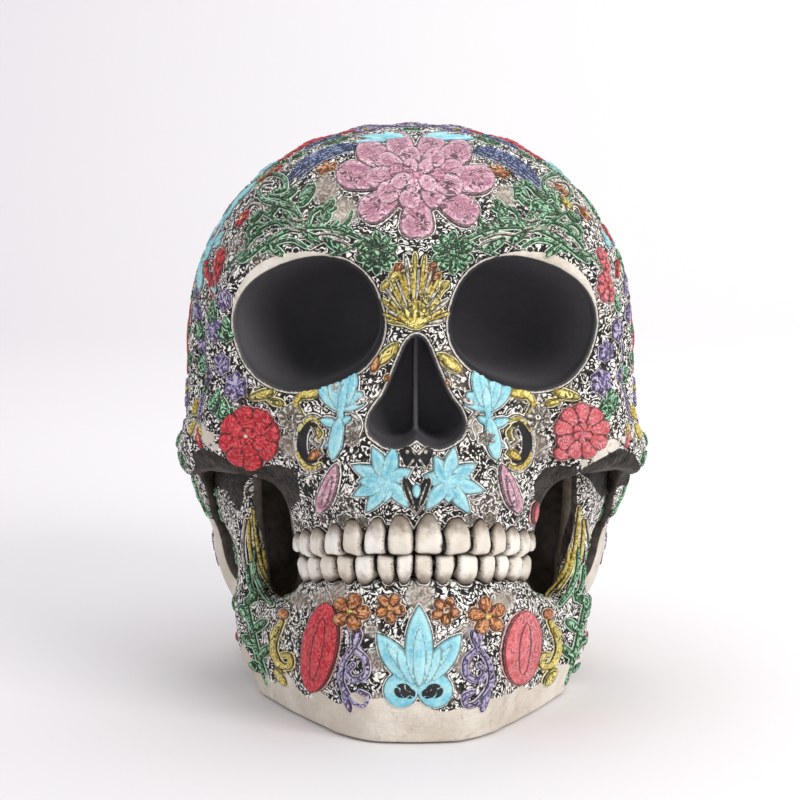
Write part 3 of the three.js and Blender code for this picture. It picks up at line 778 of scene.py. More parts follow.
def leaf_star(p, c, tips, W, col, h=1.0):
    for t in tips:
        dx, dy = t[0] - c[0], t[1] - c[1]
        p.petal(c, math.degrees(math.atan2(dy, dx)), math.hypot(dx, dy), W, col, h, 0.42, 1.15, 0.6, vein=True)
    for t in tips:
        p.stroke([(c[0], c[1]), (c[0] * 0.35 + t[0] * 0.65, c[1] * 0.35 + t[1] * 0.65)], 0.34, 0.12, col, h * 1.28)


def lotus(p, s, col):
    for a, L, W in ((158, 0.8, 0.16), (22, 0.8, 0.16), (130, 1.0, 0.2), (50, 1.0, 0.2)):
        p.petal((0, -0.35 * s), a, L * s, W * s, col, 0.8, 0.6, 0.9, 0.8, vein=True)
    p.petal((0, -0.35 * s), 90, 1.25 * s, 0.21 * s, col, 1.0, 0.55, 0.95, 0.8)
    p.petal((0, -0.3 * s), 90, 0.95 * s, 0.1 * s, col, 1.3, 0.5, 0.95, 0.8)


def sprig(p, s, col, leafcol=None, way=1):
    """A bent stem with leaves that ends in a curl."""
    pts = [(-0.9 * s, -0.5 * s * way), (-0.45 * s, -0.1 * s * way), (0.05 * s, 0.02 * s), (0.45 * s, 0.28 * s * way)]
    p.leafy(pts, 0.55, col, n=3, L=0.36 * s, W=0.12 * s + 0.25, leafcol=leafcol, end=False)
    p.spiral((0.52 * s, 0.5 * s * way), 0.24 * s, -100 * way, 1.15, col, 0.5, way=way)


def curls(p, s, col, mid="yellow"):
    p.spiral((-0.42 * s, 0), 0.4 * s, 0, 1.3, col, 0.55, way=1)
    p.spiral((0.42 * s, 0), 0.4 * s, 180, 1.3, col, 0.55, way=-1)
    p.petal((0, -0.15 * s), 90, 0.75 * s, 0.16 * s, mid, 0.9, 0.5, 0.9, 0.8)
    p.petal((0, -0.2 * s), -90, 0.55 * s, 0.12 * s, col, 0.8, 0.5, 0.9, 0.8)


def wing(p, s, col, light):
    """Long thin strokes side by side, like a feather."""
    for i, (o, L) in enumerate(((-0.05, 0.8), (0.14, 1.0), (0.33, 0.95), (0.52, 0.82), (0.70, 0.6))):
        y0 = -0.35 * s + o * s
        p.stroke([(-0.95 * s * (0.75 + 0.25 * L), y0 - 0.14 * s), (-0.35 * s, y0 + 0.03 * s), (0.25 * s * L, y0 + 0.05 * s), (0.95 * s * L, y0 - 0.12 * s)], 0.2, 0.25, col if i % 2 == 0 else light, 0.75, wm=0.040 * s)


def leaves3(p, s, col):
    for a, L in ((90, 1.0), (140, 0.78), (40, 0.78)):
        p.petal((0, -0.45 * s), a, L * s, 0.2 * s, col, 0.9, 0.5, 0.9, 0.8, vein=True)


def drops(p, s, col):
    p.petal((-0.1 * s, -0.8 * s), 86, 1.55 * s, 0.26 * s, col, 1.0, 0.7, 0.5, 0.9, edge=True)
    p.petal((0.35 * s, -0.5 * s), 70, 0.95 * s, 0.17 * s, col, 0.9, 0.7, 0.5, 0.9, edge=True)


def fill_in(k, seed, plan, taken, allow, flips=True):
    """Sets figures on what is still free, largest first, the same on both sides."""
    r = np.random.RandomState(seed)
    cand = np.nonzero(allow & (k.V[:, 0] > 0))[0]
    for s, gap, tries, kinds in plan:
        for i in r.choice(cand, size=min(tries, len(cand)), replace=False):
            P = k.V[i].copy()
            mid = P[0] < s * 0.45
            if mid:
                P[0] = 0.0
            elif P[0] < s + gap * 0.5:
                continue
            if any((P[0] - q[0]) ** 2 + (P[1] - q[1]) ** 2 + (P[2] - q[2]) ** 2 < (s + w + gap) ** 2 for q, w in taken):
                continue
            kind = kinds[r.randint(len(kinds))]
            turn = 0.0 if mid else r.uniform(-60, 60)
            if mid and kind in MID_ONLY_NOT:
                continue
            taken.append((P.copy(), s))
            for f in (1, -1):
                if f < 0 and mid:
                    continue
                Q = P * np.array([f, 1, 1])
                p = k.local(Q, s * 1.7 + 2, turn=turn * f, flip=f)
                KINDS[kind](p, s)
                if f < 0:
                    taken.append((Q.copy(), s))


KINDS = {
    "pinkbig": lambda p, s: big_flower(p, s, "pink", "pink", "rose"),
    "skybig": lambda p, s: big_flower(p, s, "sky", "sky", "yellow", n=10),
    "redrose": lambda p, s: rose(p, s, "red", "yellow"),
    "marigold": lambda p, s: big_flower(p, s, "orange", "yellow", "red", n=11),
    "violet": lambda p, s: big_flower(p, s, "purple", "purple", "yellow", n=8),
    "lotus": lambda p, s: lotus(p, s * 1.1, "sky"),
    "lineflower": lambda p, s: line_flower(p, s, "green"),
    "sprig": lambda p, s: sprig(p, s, "green"),
    "sprig2": lambda p, s: sprig(p, s, "green", way=-1),
    "curlsp": lambda p, s: curls(p, s, "purple"),
    "curlsy": lambda p, s: curls(p, s, "yellow", "orange"),
    "wing": lambda p, s: wing(p, s, "navy", "navy"),
    "leaves": lambda p, s: leaves3(p, s, "sky"),
    "leavesg": lambda p, s: leaves3(p, s, "green"),
    "drops": lambda p, s: drops(p, s, "pink"),
    "fo": lambda p, s: small_flower(p, s, "orange", "yellow"),
    "fr": lambda p, s: small_flower(p, s, "red", "yellow", n=6),
    "fp": lambda p, s: small_flower(p, s, "purple", "yellow"),
    "fy": lambda p, s: small_flower(p, s, "yellow", "orange", n=6),
    "fb": lambda p, s: small_flower(p, s, "bone", "yellow", n=8),
    "leaf": lambda p, s: p.petal((0, -s), 90, 2 * s, 0.42 * s, "green", 0.8, 0.5, 0.9, 0.8, vein=True),
    "leafs": lambda p, s: p.petal((0, -s), 90, 2 * s, 0.42 * s, "sky", 0.8, 0.5, 0.9, 0.8, vein=True),
    "dotr": lambda p, s: p.disc((0, 0), s * 0.6, "red", 0.8),
    "doty": lambda p, s: p.disc((0, 0), s * 0.6, "yellow", 0.8),
}
MID_ONLY_NOT = {"sprig", "sprig2", "wing", "leaf", "leafs", "drops"}
PLAN = [
    (15.5, 3.0, 260, ["pinkbig", "redrose", "skybig"]),
    (12.0, 2.2, 500, ["redrose", "marigold", "violet", "lotus", "pinkbig"]),
    (9.0, 1.2, 900, ["sprig", "sprig2", "wing", "curlsp", "lotus", "sprig"]),
    (6.5, 0.8, 1600, ["sprig", "curlsy", "lineflower", "leaves", "fo", "sprig2", "drops", "leavesg"]),
    (4.2, 0.5, 2600, ["fo", "fr", "fp", "leavesg", "fy", "leaf", "lineflower", "fb", "leafs"]),
    (2.6, 0.4, 4000, ["leaf", "fo", "fp", "doty", "dotr", "leafs", "leaf"]),
]


MAPLE = (
    ((388, 480), [(351, 465), (372, 446), (395, 445), (412, 469), (409, 508), (385, 503), (366, 513), (352, 496), (358, 481)]),
    ((447, 481), [(423, 475), (434, 455), (454, 446), (476, 463), (471, 477), (485, 491), (470, 514), (448, 503), (425, 510)]),
)


def decorate_cranium(k):
    V = k.V
    ax, y, z = np.abs(V[:, 0]).astype(f32), V[:, 1].astype(f32), V[:, 2].astype(f32)
    # bare ivory: a crescent over each socket, a thin line round the rest, and the low back
    U, W = orbit_uw(ax, y, z)
    od = orbit(ax, y, z)
    ang = np.degrees(np.arctan2(W, U))
    width = 0.25 + 3.3 * np.exp(-(((ang - 78) / 42) ** 2))
    iv = step01(od, width + 0.5, width - 0.1) * (y < -38) * (z > 92)
    wob = random_field(V, 31, 16.0, 0.5)
    iv = np.maximum(iv, step01(z + wob * 1.6 + 20 * step01(y, 12, 48), 46, 44) * step01(y, -14, -10))
    # pale patches by the ends of the cheek arches: bare ivory resin, lightened as painted highlight on the cheekbones
    for cx, cy, r in ((208, 438, 8), (200, 430, 7), (215, 447, 5), (584, 463, 5), (600, 455, 10), (613, 446, 8), (625, 440, 5)):
        iv = np.maximum(iv, 0.70 * step01(np.hypot(k.px - cx, k.py - cy), r + 4, r - 4) * (k.face > 0.08) * (y < -10))
    k.ivory = iv.astype(f32)
    pla = np.zeros(len(V), f32)
    for cx, cy, r in ((325, 190, 13), (345, 211, 12), (292, 445, 12), (506, 196, 10), (536, 446, 12), (352, 432, 8), (478, 430, 8)):
        d = np.hypot(k.px - cx, k.py - cy)
        pla = np.maximum(pla, step01(d, r + 6, r - 4) * (k.face > 0.1))
    k.plain = pla
    keep = k.mask & (k.ivory < 0.5)
    k.mask = k.mask & (k.black > 0.1)

    F = k.photo(415, 300, 262, 240, 0.12)
    # ---- forehead: vines first, so that flowers lie over them
    for m in (0, 1):
        X = (lambda q: q) if m == 0 else mir
        st(F, X([(360, 238), (338, 229), (312, 227), (288, 231), (266, 243), (249, 257)]), 0.9, 0.9, "green", wm=1.25)
        st(F, X([(306, 228), (296, 212), (279, 205), (262, 199), (258, 184), (270, 174), (284, 178), (285, 189), (276, 192)]), 1.0, 1.0, "green", wm=1.35)
        for i, pts in enumerate((
            [(288, 231), (274, 219), (262, 212)],
            [(322, 228), (325, 216), (336, 208)],
            [(338, 229), (348, 222), (352, 212)],
            [(330, 256), (350, 248), (364, 240)],
            [(250, 242), (262, 228), (280, 222), (298, 226)],
            [(262, 252), (276, 243), (292, 240), (306, 247)],
            [(308, 226), (312, 214), (322, 208), (330, 214), (326, 221), (319, 218)],
            [(270, 196), (282, 198), (292, 204), (300, 216)],
            [(262, 233), (252, 238), (246, 248)],
            [(268, 226), (256, 224), (248, 232), (252, 240)],
            [(338, 222), (332, 230), (340, 236), (350, 232)],
            [(310, 248), (326, 240), (342, 242), (354, 250)],
            [(256, 196), (262, 184), (272, 182)],
            [(300, 238), (312, 236), (330, 234), (348, 240)],
            [(290, 218), (298, 222), (308, 220)],
            [(246, 210), (254, 204), (262, 208), (258, 216)],
            [(266, 238), (280, 230), (300, 232)],
            [(284, 212), (292, 226), (306, 230)],
        )):
            if i < 11:
                st(F, X(pts), 0.6, 0.6, "green", wm=0.9)
            else:
                st(F, X(pts), 0.45, 0.45, "bone", h=0.7, wm=0.65)
        for b, t, W in (((300, 206), (314, 184), 4.6), ((302, 232), (320, 243), 3.2), ((324, 238), (343, 251), 3.4), ((266, 243), (284, 257), 3.2), ((262, 212), (250, 222), 3.0), ((250, 250), (240, 262), 3.0), ((278, 204), (268, 216), 2.6), ((282, 200), (297, 188), 2.4), ((340, 226), (352, 232), 2.2), ((292, 222), (284, 212), 2.2), ((322, 214), (334, 200), 3.0)):
            pl(F, *X([b, t]), W, "green", vein=True)
    st(F, [(516, 198), (518, 187), (526, 183), (533, 189)], 1.4, 1.2, "green", wm=2.2)
    st(F, [(547, 193), (556, 199), (555, 208), (545, 213), (537, 219)], 1.3, 1.3, "green", wm=2.2)
    pl(F, (556, 214), (532, 202), 5.5, "green", vein=True)
    pl(F, (520, 226), (498, 220), 4.5, "green")
    # two line flowers over the inner ends of the brows
    for cx in (377, 453):
        p = k.photo(cx, 253, 34)
        line_flower(p, 21 / SC, "green", n=10)
    dot(F, 296, 251, 2.3, "black", h=0.15)
    dot(F, 530, 250, 2.3, "black", h=0.15)
    # palmette between the brows
    p = k.photo(415, 300, 60, 60)
    for i in range(27):
        a = math.radians(6 + 168 * i / 26)
        rr = (46 if i % 2 == 0 else 60) + 12 * math.sin(a) ** 4
        tip = (415 + 0.62 * rr * math.cos(a), 325 - rr * math.sin(a))
        pl(p, (415 + 0.35 * (tip[0] - 415), 327 + 0.35 * (tip[1] - 327)), tip, 1.35, "yellow" if i % 3 else "bone", wide=0.7, base=1.0, edge=False, h=0.7)
    for dx, ty, W in ((-17, 316, 3.0), (17, 316, 3.0), (-11, 307, 3.2), (11, 307, 3.2), (-5, 301, 3.2), (5, 301, 3.2), (0, 298, 3.4)):
        pl(p, (415, 328), (415 + dx, ty), W, "yellow", h=0.9, edge=True)
    dot(p, 415, 324, 8, "yellow", h=1.0, squash=0.6)
    for x, yy, c in ((385, 286, "yellow"), (394, 276, "yellow"), (444, 286, "yellow"), (436, 276, "orange"), (398, 268, "orange"), (432, 267, "orange")):
        pl(p, (x - 3, yy + 4), (x + 4, yy - 4), 3.2, c)
    # the pink flower
    p = k.photo(416, 185, 95, 70)
    for x, yy, W in ((350, 176, 15), (370, 153, 14), (400, 148, 14), (431, 148, 14), (458, 154, 14), (481, 180, 15), (466, 213, 15), (417, 226, 17), (372, 210, 15)):
        dx, dy = x - 416, yy - 182
        L = math.hypot(dx, dy)
        pl(p, (416 + dx * 0.30, 182 + dy * 0.30), (416 + dx * (1 + 14 / L), 182 + dy * (1 + 14 / L)), W, "pink", h=0.95, wide=0.72, tip=0.5, vein=True)
    for i in range(9):
        a = math.radians(20 + 40 * i)
        dx, dy = 50 * math.cos(a), -31 * math.sin(a)
        pl(p, (416 + dx * 0.25, 180 + dy * 0.25), (416 + dx, 180 + dy), 11.5, "pink", h=1.3, wide=0.66, vein=True)
    for i in range(7):
        a = math.radians(5 + 51.4 * i)
        dx, dy = 29 * math.cos(a), -18 * math.sin(a)
        pl(p, (416 + dx * 0.1, 179 + dy * 0.1), (416 + dx, 179 + dy), 8, "rose" if i in (0, 3) else "pink", h=1.65, wide=0.62)
    dot(p, 416, 179, 5, "rose", h=1.8, squash=0.7)
    # ---- crown and temples, laid on the surface itself
    def loc(x, yy, r, **kw):
        return k.local(hit_px(cranium, x, yy), r, **kw)

    for x, yy, t, s in ((385, 138, 62, 7.5), (447, 138, -62, 8.5), (373, 142, 78, 5)):
        p = loc(x, yy, s * 2.4, turn=-t)
        p.petal((0, -s), 90, 2.1 * s, s * 0.42, "sky", 0.9, 0.5, 0.9, 0.8, vein=True)
        p.petal((0, -s * 0.8), 62 if t > 0 else 118, 1.3 * s, s * 0.26, "sky", 0.9, 0.5, 0.9, 0.8)
    for x, yy, f, t in ((318, 158, -1, -18), (512, 163, 1, 18)):
        p = loc(x, yy, 24, flip=f, turn=t)
        wing(p, 11.5, "navy", "navy")
    for x, yy, r in ((327, 168, 3.4), (499, 172, 3.4)):
        small_flower(loc(x, yy, 8), r, "orange", "orange")
    for x, yy, r, c in ((561, 190, 3.0, "orange"), (566, 204, 2.6, "yellow"), (276, 171, 2.8, "red"), (243, 219, 3.2, "red"), (262, 180, 2.4, "orange"), (584, 214, 2.8, "orange")):
        small_flower(loc(x, yy, 8), r, c, "yellow")
    for x, yy, t in ((243, 196, 34), (226, 218, 26), (213, 243, 18), (202, 268, 8), (588, 197, -34), (604, 222, -26), (616, 247, -18), (627, 272, -8)):
        p = loc(x, yy, 16, turn=t)
        p.petal((0, -7.5), 90, 15, 4.0, "sky", 0.9, 0.5, 0.9, 0.8, vein=True)
        p.petal((0, -6.5), 62, 8, 1.9, "sky", 0.8, 0.5, 0.9, 0.8)
        p.petal((0, -6.5), 118, 8, 1.9, "sky", 0.8, 0.5, 0.9, 0.8)
    E = k.photo(415, 240, 262, 110, 0.02, depth=(-62, -16))
    for pts in ([(240, 199), (228, 212), (216, 230), (208, 250)], [(206, 240), (201, 258), (199, 276)], [(594, 203), (606, 219), (615, 240)], [(612, 232), (620, 252), (624, 272)]):
        st(E, pts, 1.2, 1.2, "sky", wm=3.4)
    for x, yy, r in ((219, 265, 5.4), (214, 287, 4.6), (604, 263, 5.0), (607, 287, 4.6)):
        rose(loc(x, yy, 11), r, "red", "yellow", n=7)
    for x, yy, r in ((224, 300, 2.9), (198, 312, 3.2), (214, 330, 3.6), (203, 345, 2.8), (222, 364, 3.0), (236, 386, 4.0), (601, 382, 3.8), (618, 330, 3.4), (606, 352, 3.0), (628, 312, 3.0)):
        small_flower(loc(x, yy, 9), r, "purple", "purple", n=6)
    for x, yy, t in ((207, 384, 14), (216, 402, 6), (224, 410, -8), (204, 362, 16), (612, 400, -8), (603, 412, 8), (622, 372, -16), (200, 330, 10), (616, 300, 0), (226, 330, 0), (212, 312, -10)):
        p = loc(x, yy, 9, turn=t)
        p.petal((0, -3.6), 90, 7.2, 1.5, "green", 0.8, 0.5, 0.9, 0.8)
        p.petal((0, -3.2), 50, 4.6, 1.0, "green", 0.8, 0.5, 0.9, 0.8)
        p.petal((0, -3.2), 130, 4.6, 1.0, "green", 0.8, 0.5, 0.9, 0.8)
    for f in (1, -1):
        P0 = settle(cranium, np.array([[f * 62.0, 14.0, 62.0]]), 6, 8.0)[0]
        p = k.local(P0, 26, flip=f)
        p.leafy([(-1.5, -16), (0.5, -8), (0, 0), (-1, 8), (1, 15)], 0.6, "green", n=6, L=4.2, W=1.2)
    for x, yy in ((197, 408), (193, 428), (632, 412), (637, 430)):
        p = loc(x, yy, 9)
        p.spiral((0, 0), 2.6, 30, 1.2, "yellow", 0.55, way=1 if x < 400 else -1)
    # ---- beside the nose and under the sockets
    p = F
    pl(p, (377, 365), (398, 344), 5.0, "yellow", wide=0.5)
    pl(p, (380, 356), (372, 372), 3.6, "orange")
    pl(p, (438, 354), (461, 371), 5.0, "yellow", wide=0.5)
    for x, yy, t in ((388, 378, 0), (446, 384, 0)):
        dot(p, x, yy, 3.2, "orange")
    for m in (0, 1):
        X = (lambda q: q) if m == 0 else mir
        pl(p, *X([(250, 398), (276, 391)]), 4.2, "yellow")
        pl(p, *X([(322, 392), (298, 395)]), 4.4, "yellow")
        st(p, X([(300, 396), (296, 404), (300, 412)]), 2.4, 1.6, "yellow")
        pl(p, *X([(268, 400), (284, 404)]), 3.0, "yellow")
        fl(p, *X([(291, 417)])[0], 13, 9, "bone", W=2.6 / SC, inner=0.25, h=0.6, wide=0.7)
        # C-shaped scroll with a dark bed
        c = X([(313, 441)])[0]
        s = 1 if m == 0 else -1
        arc = lambda r, a0, a1, n: [(c[0] + s * 0.86 * r * math.cos(math.radians(a)), c[1] + 2 - 1.42 * r * math.sin(math.radians(a))) for a in np.linspace(a0, a1, n)]
        st(p, arc(13.0, 75, 285, 12), 0.9, 0.9, "black", h=0.15, wm=4.0)
        st(p, arc(19.5, 66, 300, 12), 0.7, 0.9, "bone", wm=1.2)
        st(p, arc(17.5, 60, 150, 6), 0.8, 0.9, "yellow", wm=1.7)
        st(p, arc(17.5, 200, 300, 6), 0.8, 1.0, "yellow", wm=1.8)
        st(p, [(c[0] - s * 2, c[1] - 16), (c[0] + s * 2, c[1] - 8), (c[0] - s * 1, c[1] - 1), (c[0] + s * 5, c[1] + 4)], 0.5, 0.7, "bone", wm=0.9)
        st(p, [(c[0] + s * 4, c[1] - 14), (c[0] + s * 8, c[1] - 8), (c[0] + s * 5, c[1] - 3)], 0.6, 0.6, "yellow", wm=1.0)
        st(p, [(c[0] + s * 10, c[1] - 1), (c[0] + s * 6, c[1] + 7), (c[0] + s * 9, c[1] + 13)], 0.5, 0.6, "bone", wm=0.8)
        pl(p, *X([(309, 459), (321, 451)]), 4.0, "orange" if m == 0 else "yellow")
    # tulips
    for m, X in ((0, lambda q: q), (1, lambda q: mir(q, 829))):
        for b, t, W in (((342, 411), (319, 385), 7.5), ((344, 411), (363, 392), 7.5), ((342, 411), (332, 374), 8.0), ((343, 411), (354, 366), 8.5)):
            pl(p, *X([b, t]), W, "sky", wide=0.55, tip=0.8, h=1.05, vein=True)
        pl(p, *X([(342, 412), (345, 384)]), 5.0, "sky", wide=0.5, tip=0.8, h=1.3)
        pl(p, *X([(344, 410), (366, 403)]), 3.4, "sky", wide=0.45, tip=1.0, h=0.9)
        if m == 0:
            p.ring(p.at(337, 388), 2.4 / SC, 0.26, "bone", 1.35)
        pl(p, *X([(340, 426), (320, 419)]), 4.8, "sky", wide=0.5, tip=0.9, h=0.95)
        pl(p, *X([(341, 424), (352, 416)]), 3.4, "sky", wide=0.5, tip=0.9, h=0.95)
        pl(p, *X([(339, 440), (324, 447)]), 3.0, "sky", wide=0.5, tip=0.9, h=0.9)
        st(p, X([(342, 408), (341, 418), (340, 430)]), 2.6, 3.2, "sky", h=1.0)
        pl(p, *X([(341, 416), (333, 460)]), 7.4, "sky", wide=0.55, tip=0.7, h=1.15, vein=True)
        pl(p, *X([(356, 404), (366, 398)]), 3.2, "bone", edge=False)
        st(p, X([(352, 412), (360, 424), (356, 438)]), 1.8, 1.2, "bone")
    # ---- cheek roses
    q = k.photo(250, 437, 48, 48)
    for i in range(8):
        a = math.radians(12 + 45 * i)
        dx, dy = 31 * math.cos(a), -31 * math.sin(a)
        if i == 6:
            dx, dy = 4, 33
        pl(q, (250 + dx * 0.30, 437 + dy * 0.30), (250 + dx, 437 + dy), 9.6 + 1.4 * (i % 2), "red", h=1.0, wide=0.74)
    for i in range(6):
        a = math.radians(35 + 60 * i)
        pl(q, (250 + 4 * math.cos(a), 436 - 4 * math.sin(a)), (250 + 19 * math.cos(a), 436 - 19 * math.sin(a)), 8.8, "red", h=1.3, wide=0.66)
    for i in range(5):
        a = math.radians(10 + 72 * i)
        pl(q, (249, 435), (249 + 9 * math.cos(a), 435 - 9 * math.sin(a)), 4.6, "red", h=1.6)
    dot(q, 248, 434, 1.8, "bone", h=1.8)
    q = k.photo(581, 432, 46, 46)
    pl(q, (578, 446), (553, 455), 8, "red", h=0.8)
    for i in range(9):
        a = math.radians(10 + 40 * i)
        pl(q, (581 + 8 * math.cos(a), 431 - 8 * math.sin(a)), (581 + 28 * math.cos(a), 431 - 28 * math.sin(a)), 8.0, "red", h=1.05, wide=0.74, vein=True)
    for i in range(6):
        a = math.radians(30 + 60 * i)
        pl(q, (581, 431), (581 + 11 * math.cos(a), 431 - 11 * math.sin(a)), 4.6, "red", h=1.4)
    dot(q, 581, 431, 2.2, "rose", h=1.6)
    # ---- upper jaw
    q = k.photo(420, 470, 140, 62, 0.1)
    for m, X in ((0, lambda z_: z_), (1, lambda z_: mir(z_, 838))):
        hub, tips = MAPLE[m]
        c = q.at(*hub)
        tips = [q.at(*t) for t in tips]
        leaf_star(q, c, tips, 7.6 / SC, "sky", 1.05)
        q.disc(c, 4 / SC, "sky", 1.25)
        pl(q, *X([(337, 464), (322, 513)]), 8.2, "pink", wide=0.66, h=1.1, bend=-0.05 if m == 0 else 0.05)
        pl(q, *X([(334, 474), (325, 506)]), 3.4, "pink", wide=0.66, h=1.4)
        fl(q, *X([(352, 438)])[0], 8, 6, "bone", h=0.6, W=2.0 / SC)
        st(q, X([(392, 440), (380, 436), (370, 430)]), 1.6, 1.0, "bone")
    for sg in (1, -1):
        cx = 416.5
        pl(q, (cx + sg * 2, 466), (cx + sg * 14, 446), 6.0, "black", h=0.2, wide=0.6)
        pl(q, (cx + sg * 1, 459), (cx + sg * 13, 462), 4.5, "black", h=0.2, wide=0.6)
        st(q, [(cx - sg * 9, 447), (cx, 456), (cx + sg * 9, 467)], 0.8, 0.8, "bone", h=0.6, wm=1.3)
        dot(q, cx + sg * 9, 452, 2.0, "bone", h=0.6)
        pl(q, (cx, 512), (cx + sg * 13, 477), 5.0, "black", h=0.3, wide=0.55)
        st(q, [(cx + sg * 1.5, 508), (cx + sg * 6, 494), (cx + sg * 11, 481)], 0.5, 0.4, "bone", h=0.7, wm=0.9)
        st(q, [(cx, 513), (cx + sg * 9, 500), (cx + sg * 15, 480), (cx + sg * 11, 475)], 0.6, 0.6, "bone", h=0.6, wm=0.8)
    pl(q, (416.5, 498), (416.5, 484), 4.2, "sky", h=0.8, wide=0.6)
    dot(q, 416.5, 457, 3.0, "black", h=0.3)
    pl(q, (533, 524), (536, 502), 3.0, "red")
    for x, yy in ((344, 520), (362, 523), (472, 520), (490, 519)):
        fl(q, x, yy, 7, 6, "bone", h=0.5, W=1.7 / SC)
    # ---- sides, back and top
    taken = []
    spots = [(380, 142, 9), (447, 138, 9), (318, 158, 12), (512, 163, 12), (243, 196, 8), (226, 218, 8), (213, 243, 8), (588, 197, 8), (604, 222, 8), (616, 247, 8), (202, 268, 8), (627, 272, 8)]
    spots += [(x, yy, 4.5) for x, yy in ((219, 265), (214, 287), (604, 263), (607, 287), (224, 300), (198, 312), (214, 330), (203, 345), (222, 364), (236, 386), (601, 382), (618, 330), (606, 352), (628, 312), (207, 384), (216, 402), (612, 400), (603, 412), (197, 408), (193, 428), (632, 412), (637, 430))]
    for x, yy, r in spots:
        P = hit_px(cranium, x, yy)
        if P is not None:
            taken.append((P, r))
    allow = keep & (k.face < -0.10) & (y > -14) & (z > 27) & (k.N[:, 2] > -0.7)
    allow &= (z > 90) | ((y > 30) & (z > 34))
    fill_in(k, 7, PLAN, taken, allow)
    # flowers on the temples and beside the crown, clear of what the photograph shows
    side = keep & (k.face < 0.04) & (y > -44) & (z > 86) & (k.black > 5.0) & (k.S.min(0) > 5.8)
    fill_in(k, 11, [(7.8, 0.8, 1200, ["redrose", "violet", "leaves", "lotus", "sprig"]), (6.4, 0.6, 1500, ["sprig2", "leaves", "curlsp", "fr", "leavesg"])], taken, side)
    # smaller ones where the photograph only grazes the surface: temples and crown
    graze = keep & (k.face < 0.20) & (y > -52) & (z > 72) & (k.black > 3.0) & (k.S.min(0) > 2.0)
    graze &= ~((k.px > 232) & (k.px < 598) & (k.py > 172) & (y < 0))
    fill_in(k, 8, [(6.0, 0.6, 1200, ["sprig", "sprig2", "wing", "curlsp", "leaves", "sprig"]), (4.4, 0.4, 2400, ["leavesg", "fo", "fr", "sprig", "lineflower", "fp"]), (3.0, 0.4, 3600, ["leavesg", "fp", "fy", "fr", "leaf"])], taken, graze & (z > 128))
    fill_in(k, 9, [(5.0, 0.6, 1200, ["sprig", "sprig2", "curlsp", "leavesg", "curlsy"]), (3.6, 0.5, 2400, ["leavesg", "fp", "fr", "leaf", "fy", "fp"]), (2.4, 0.4, 3600, ["leaf", "fp", "doty", "dotr", "leaf"])], taken, graze & (z < 130))


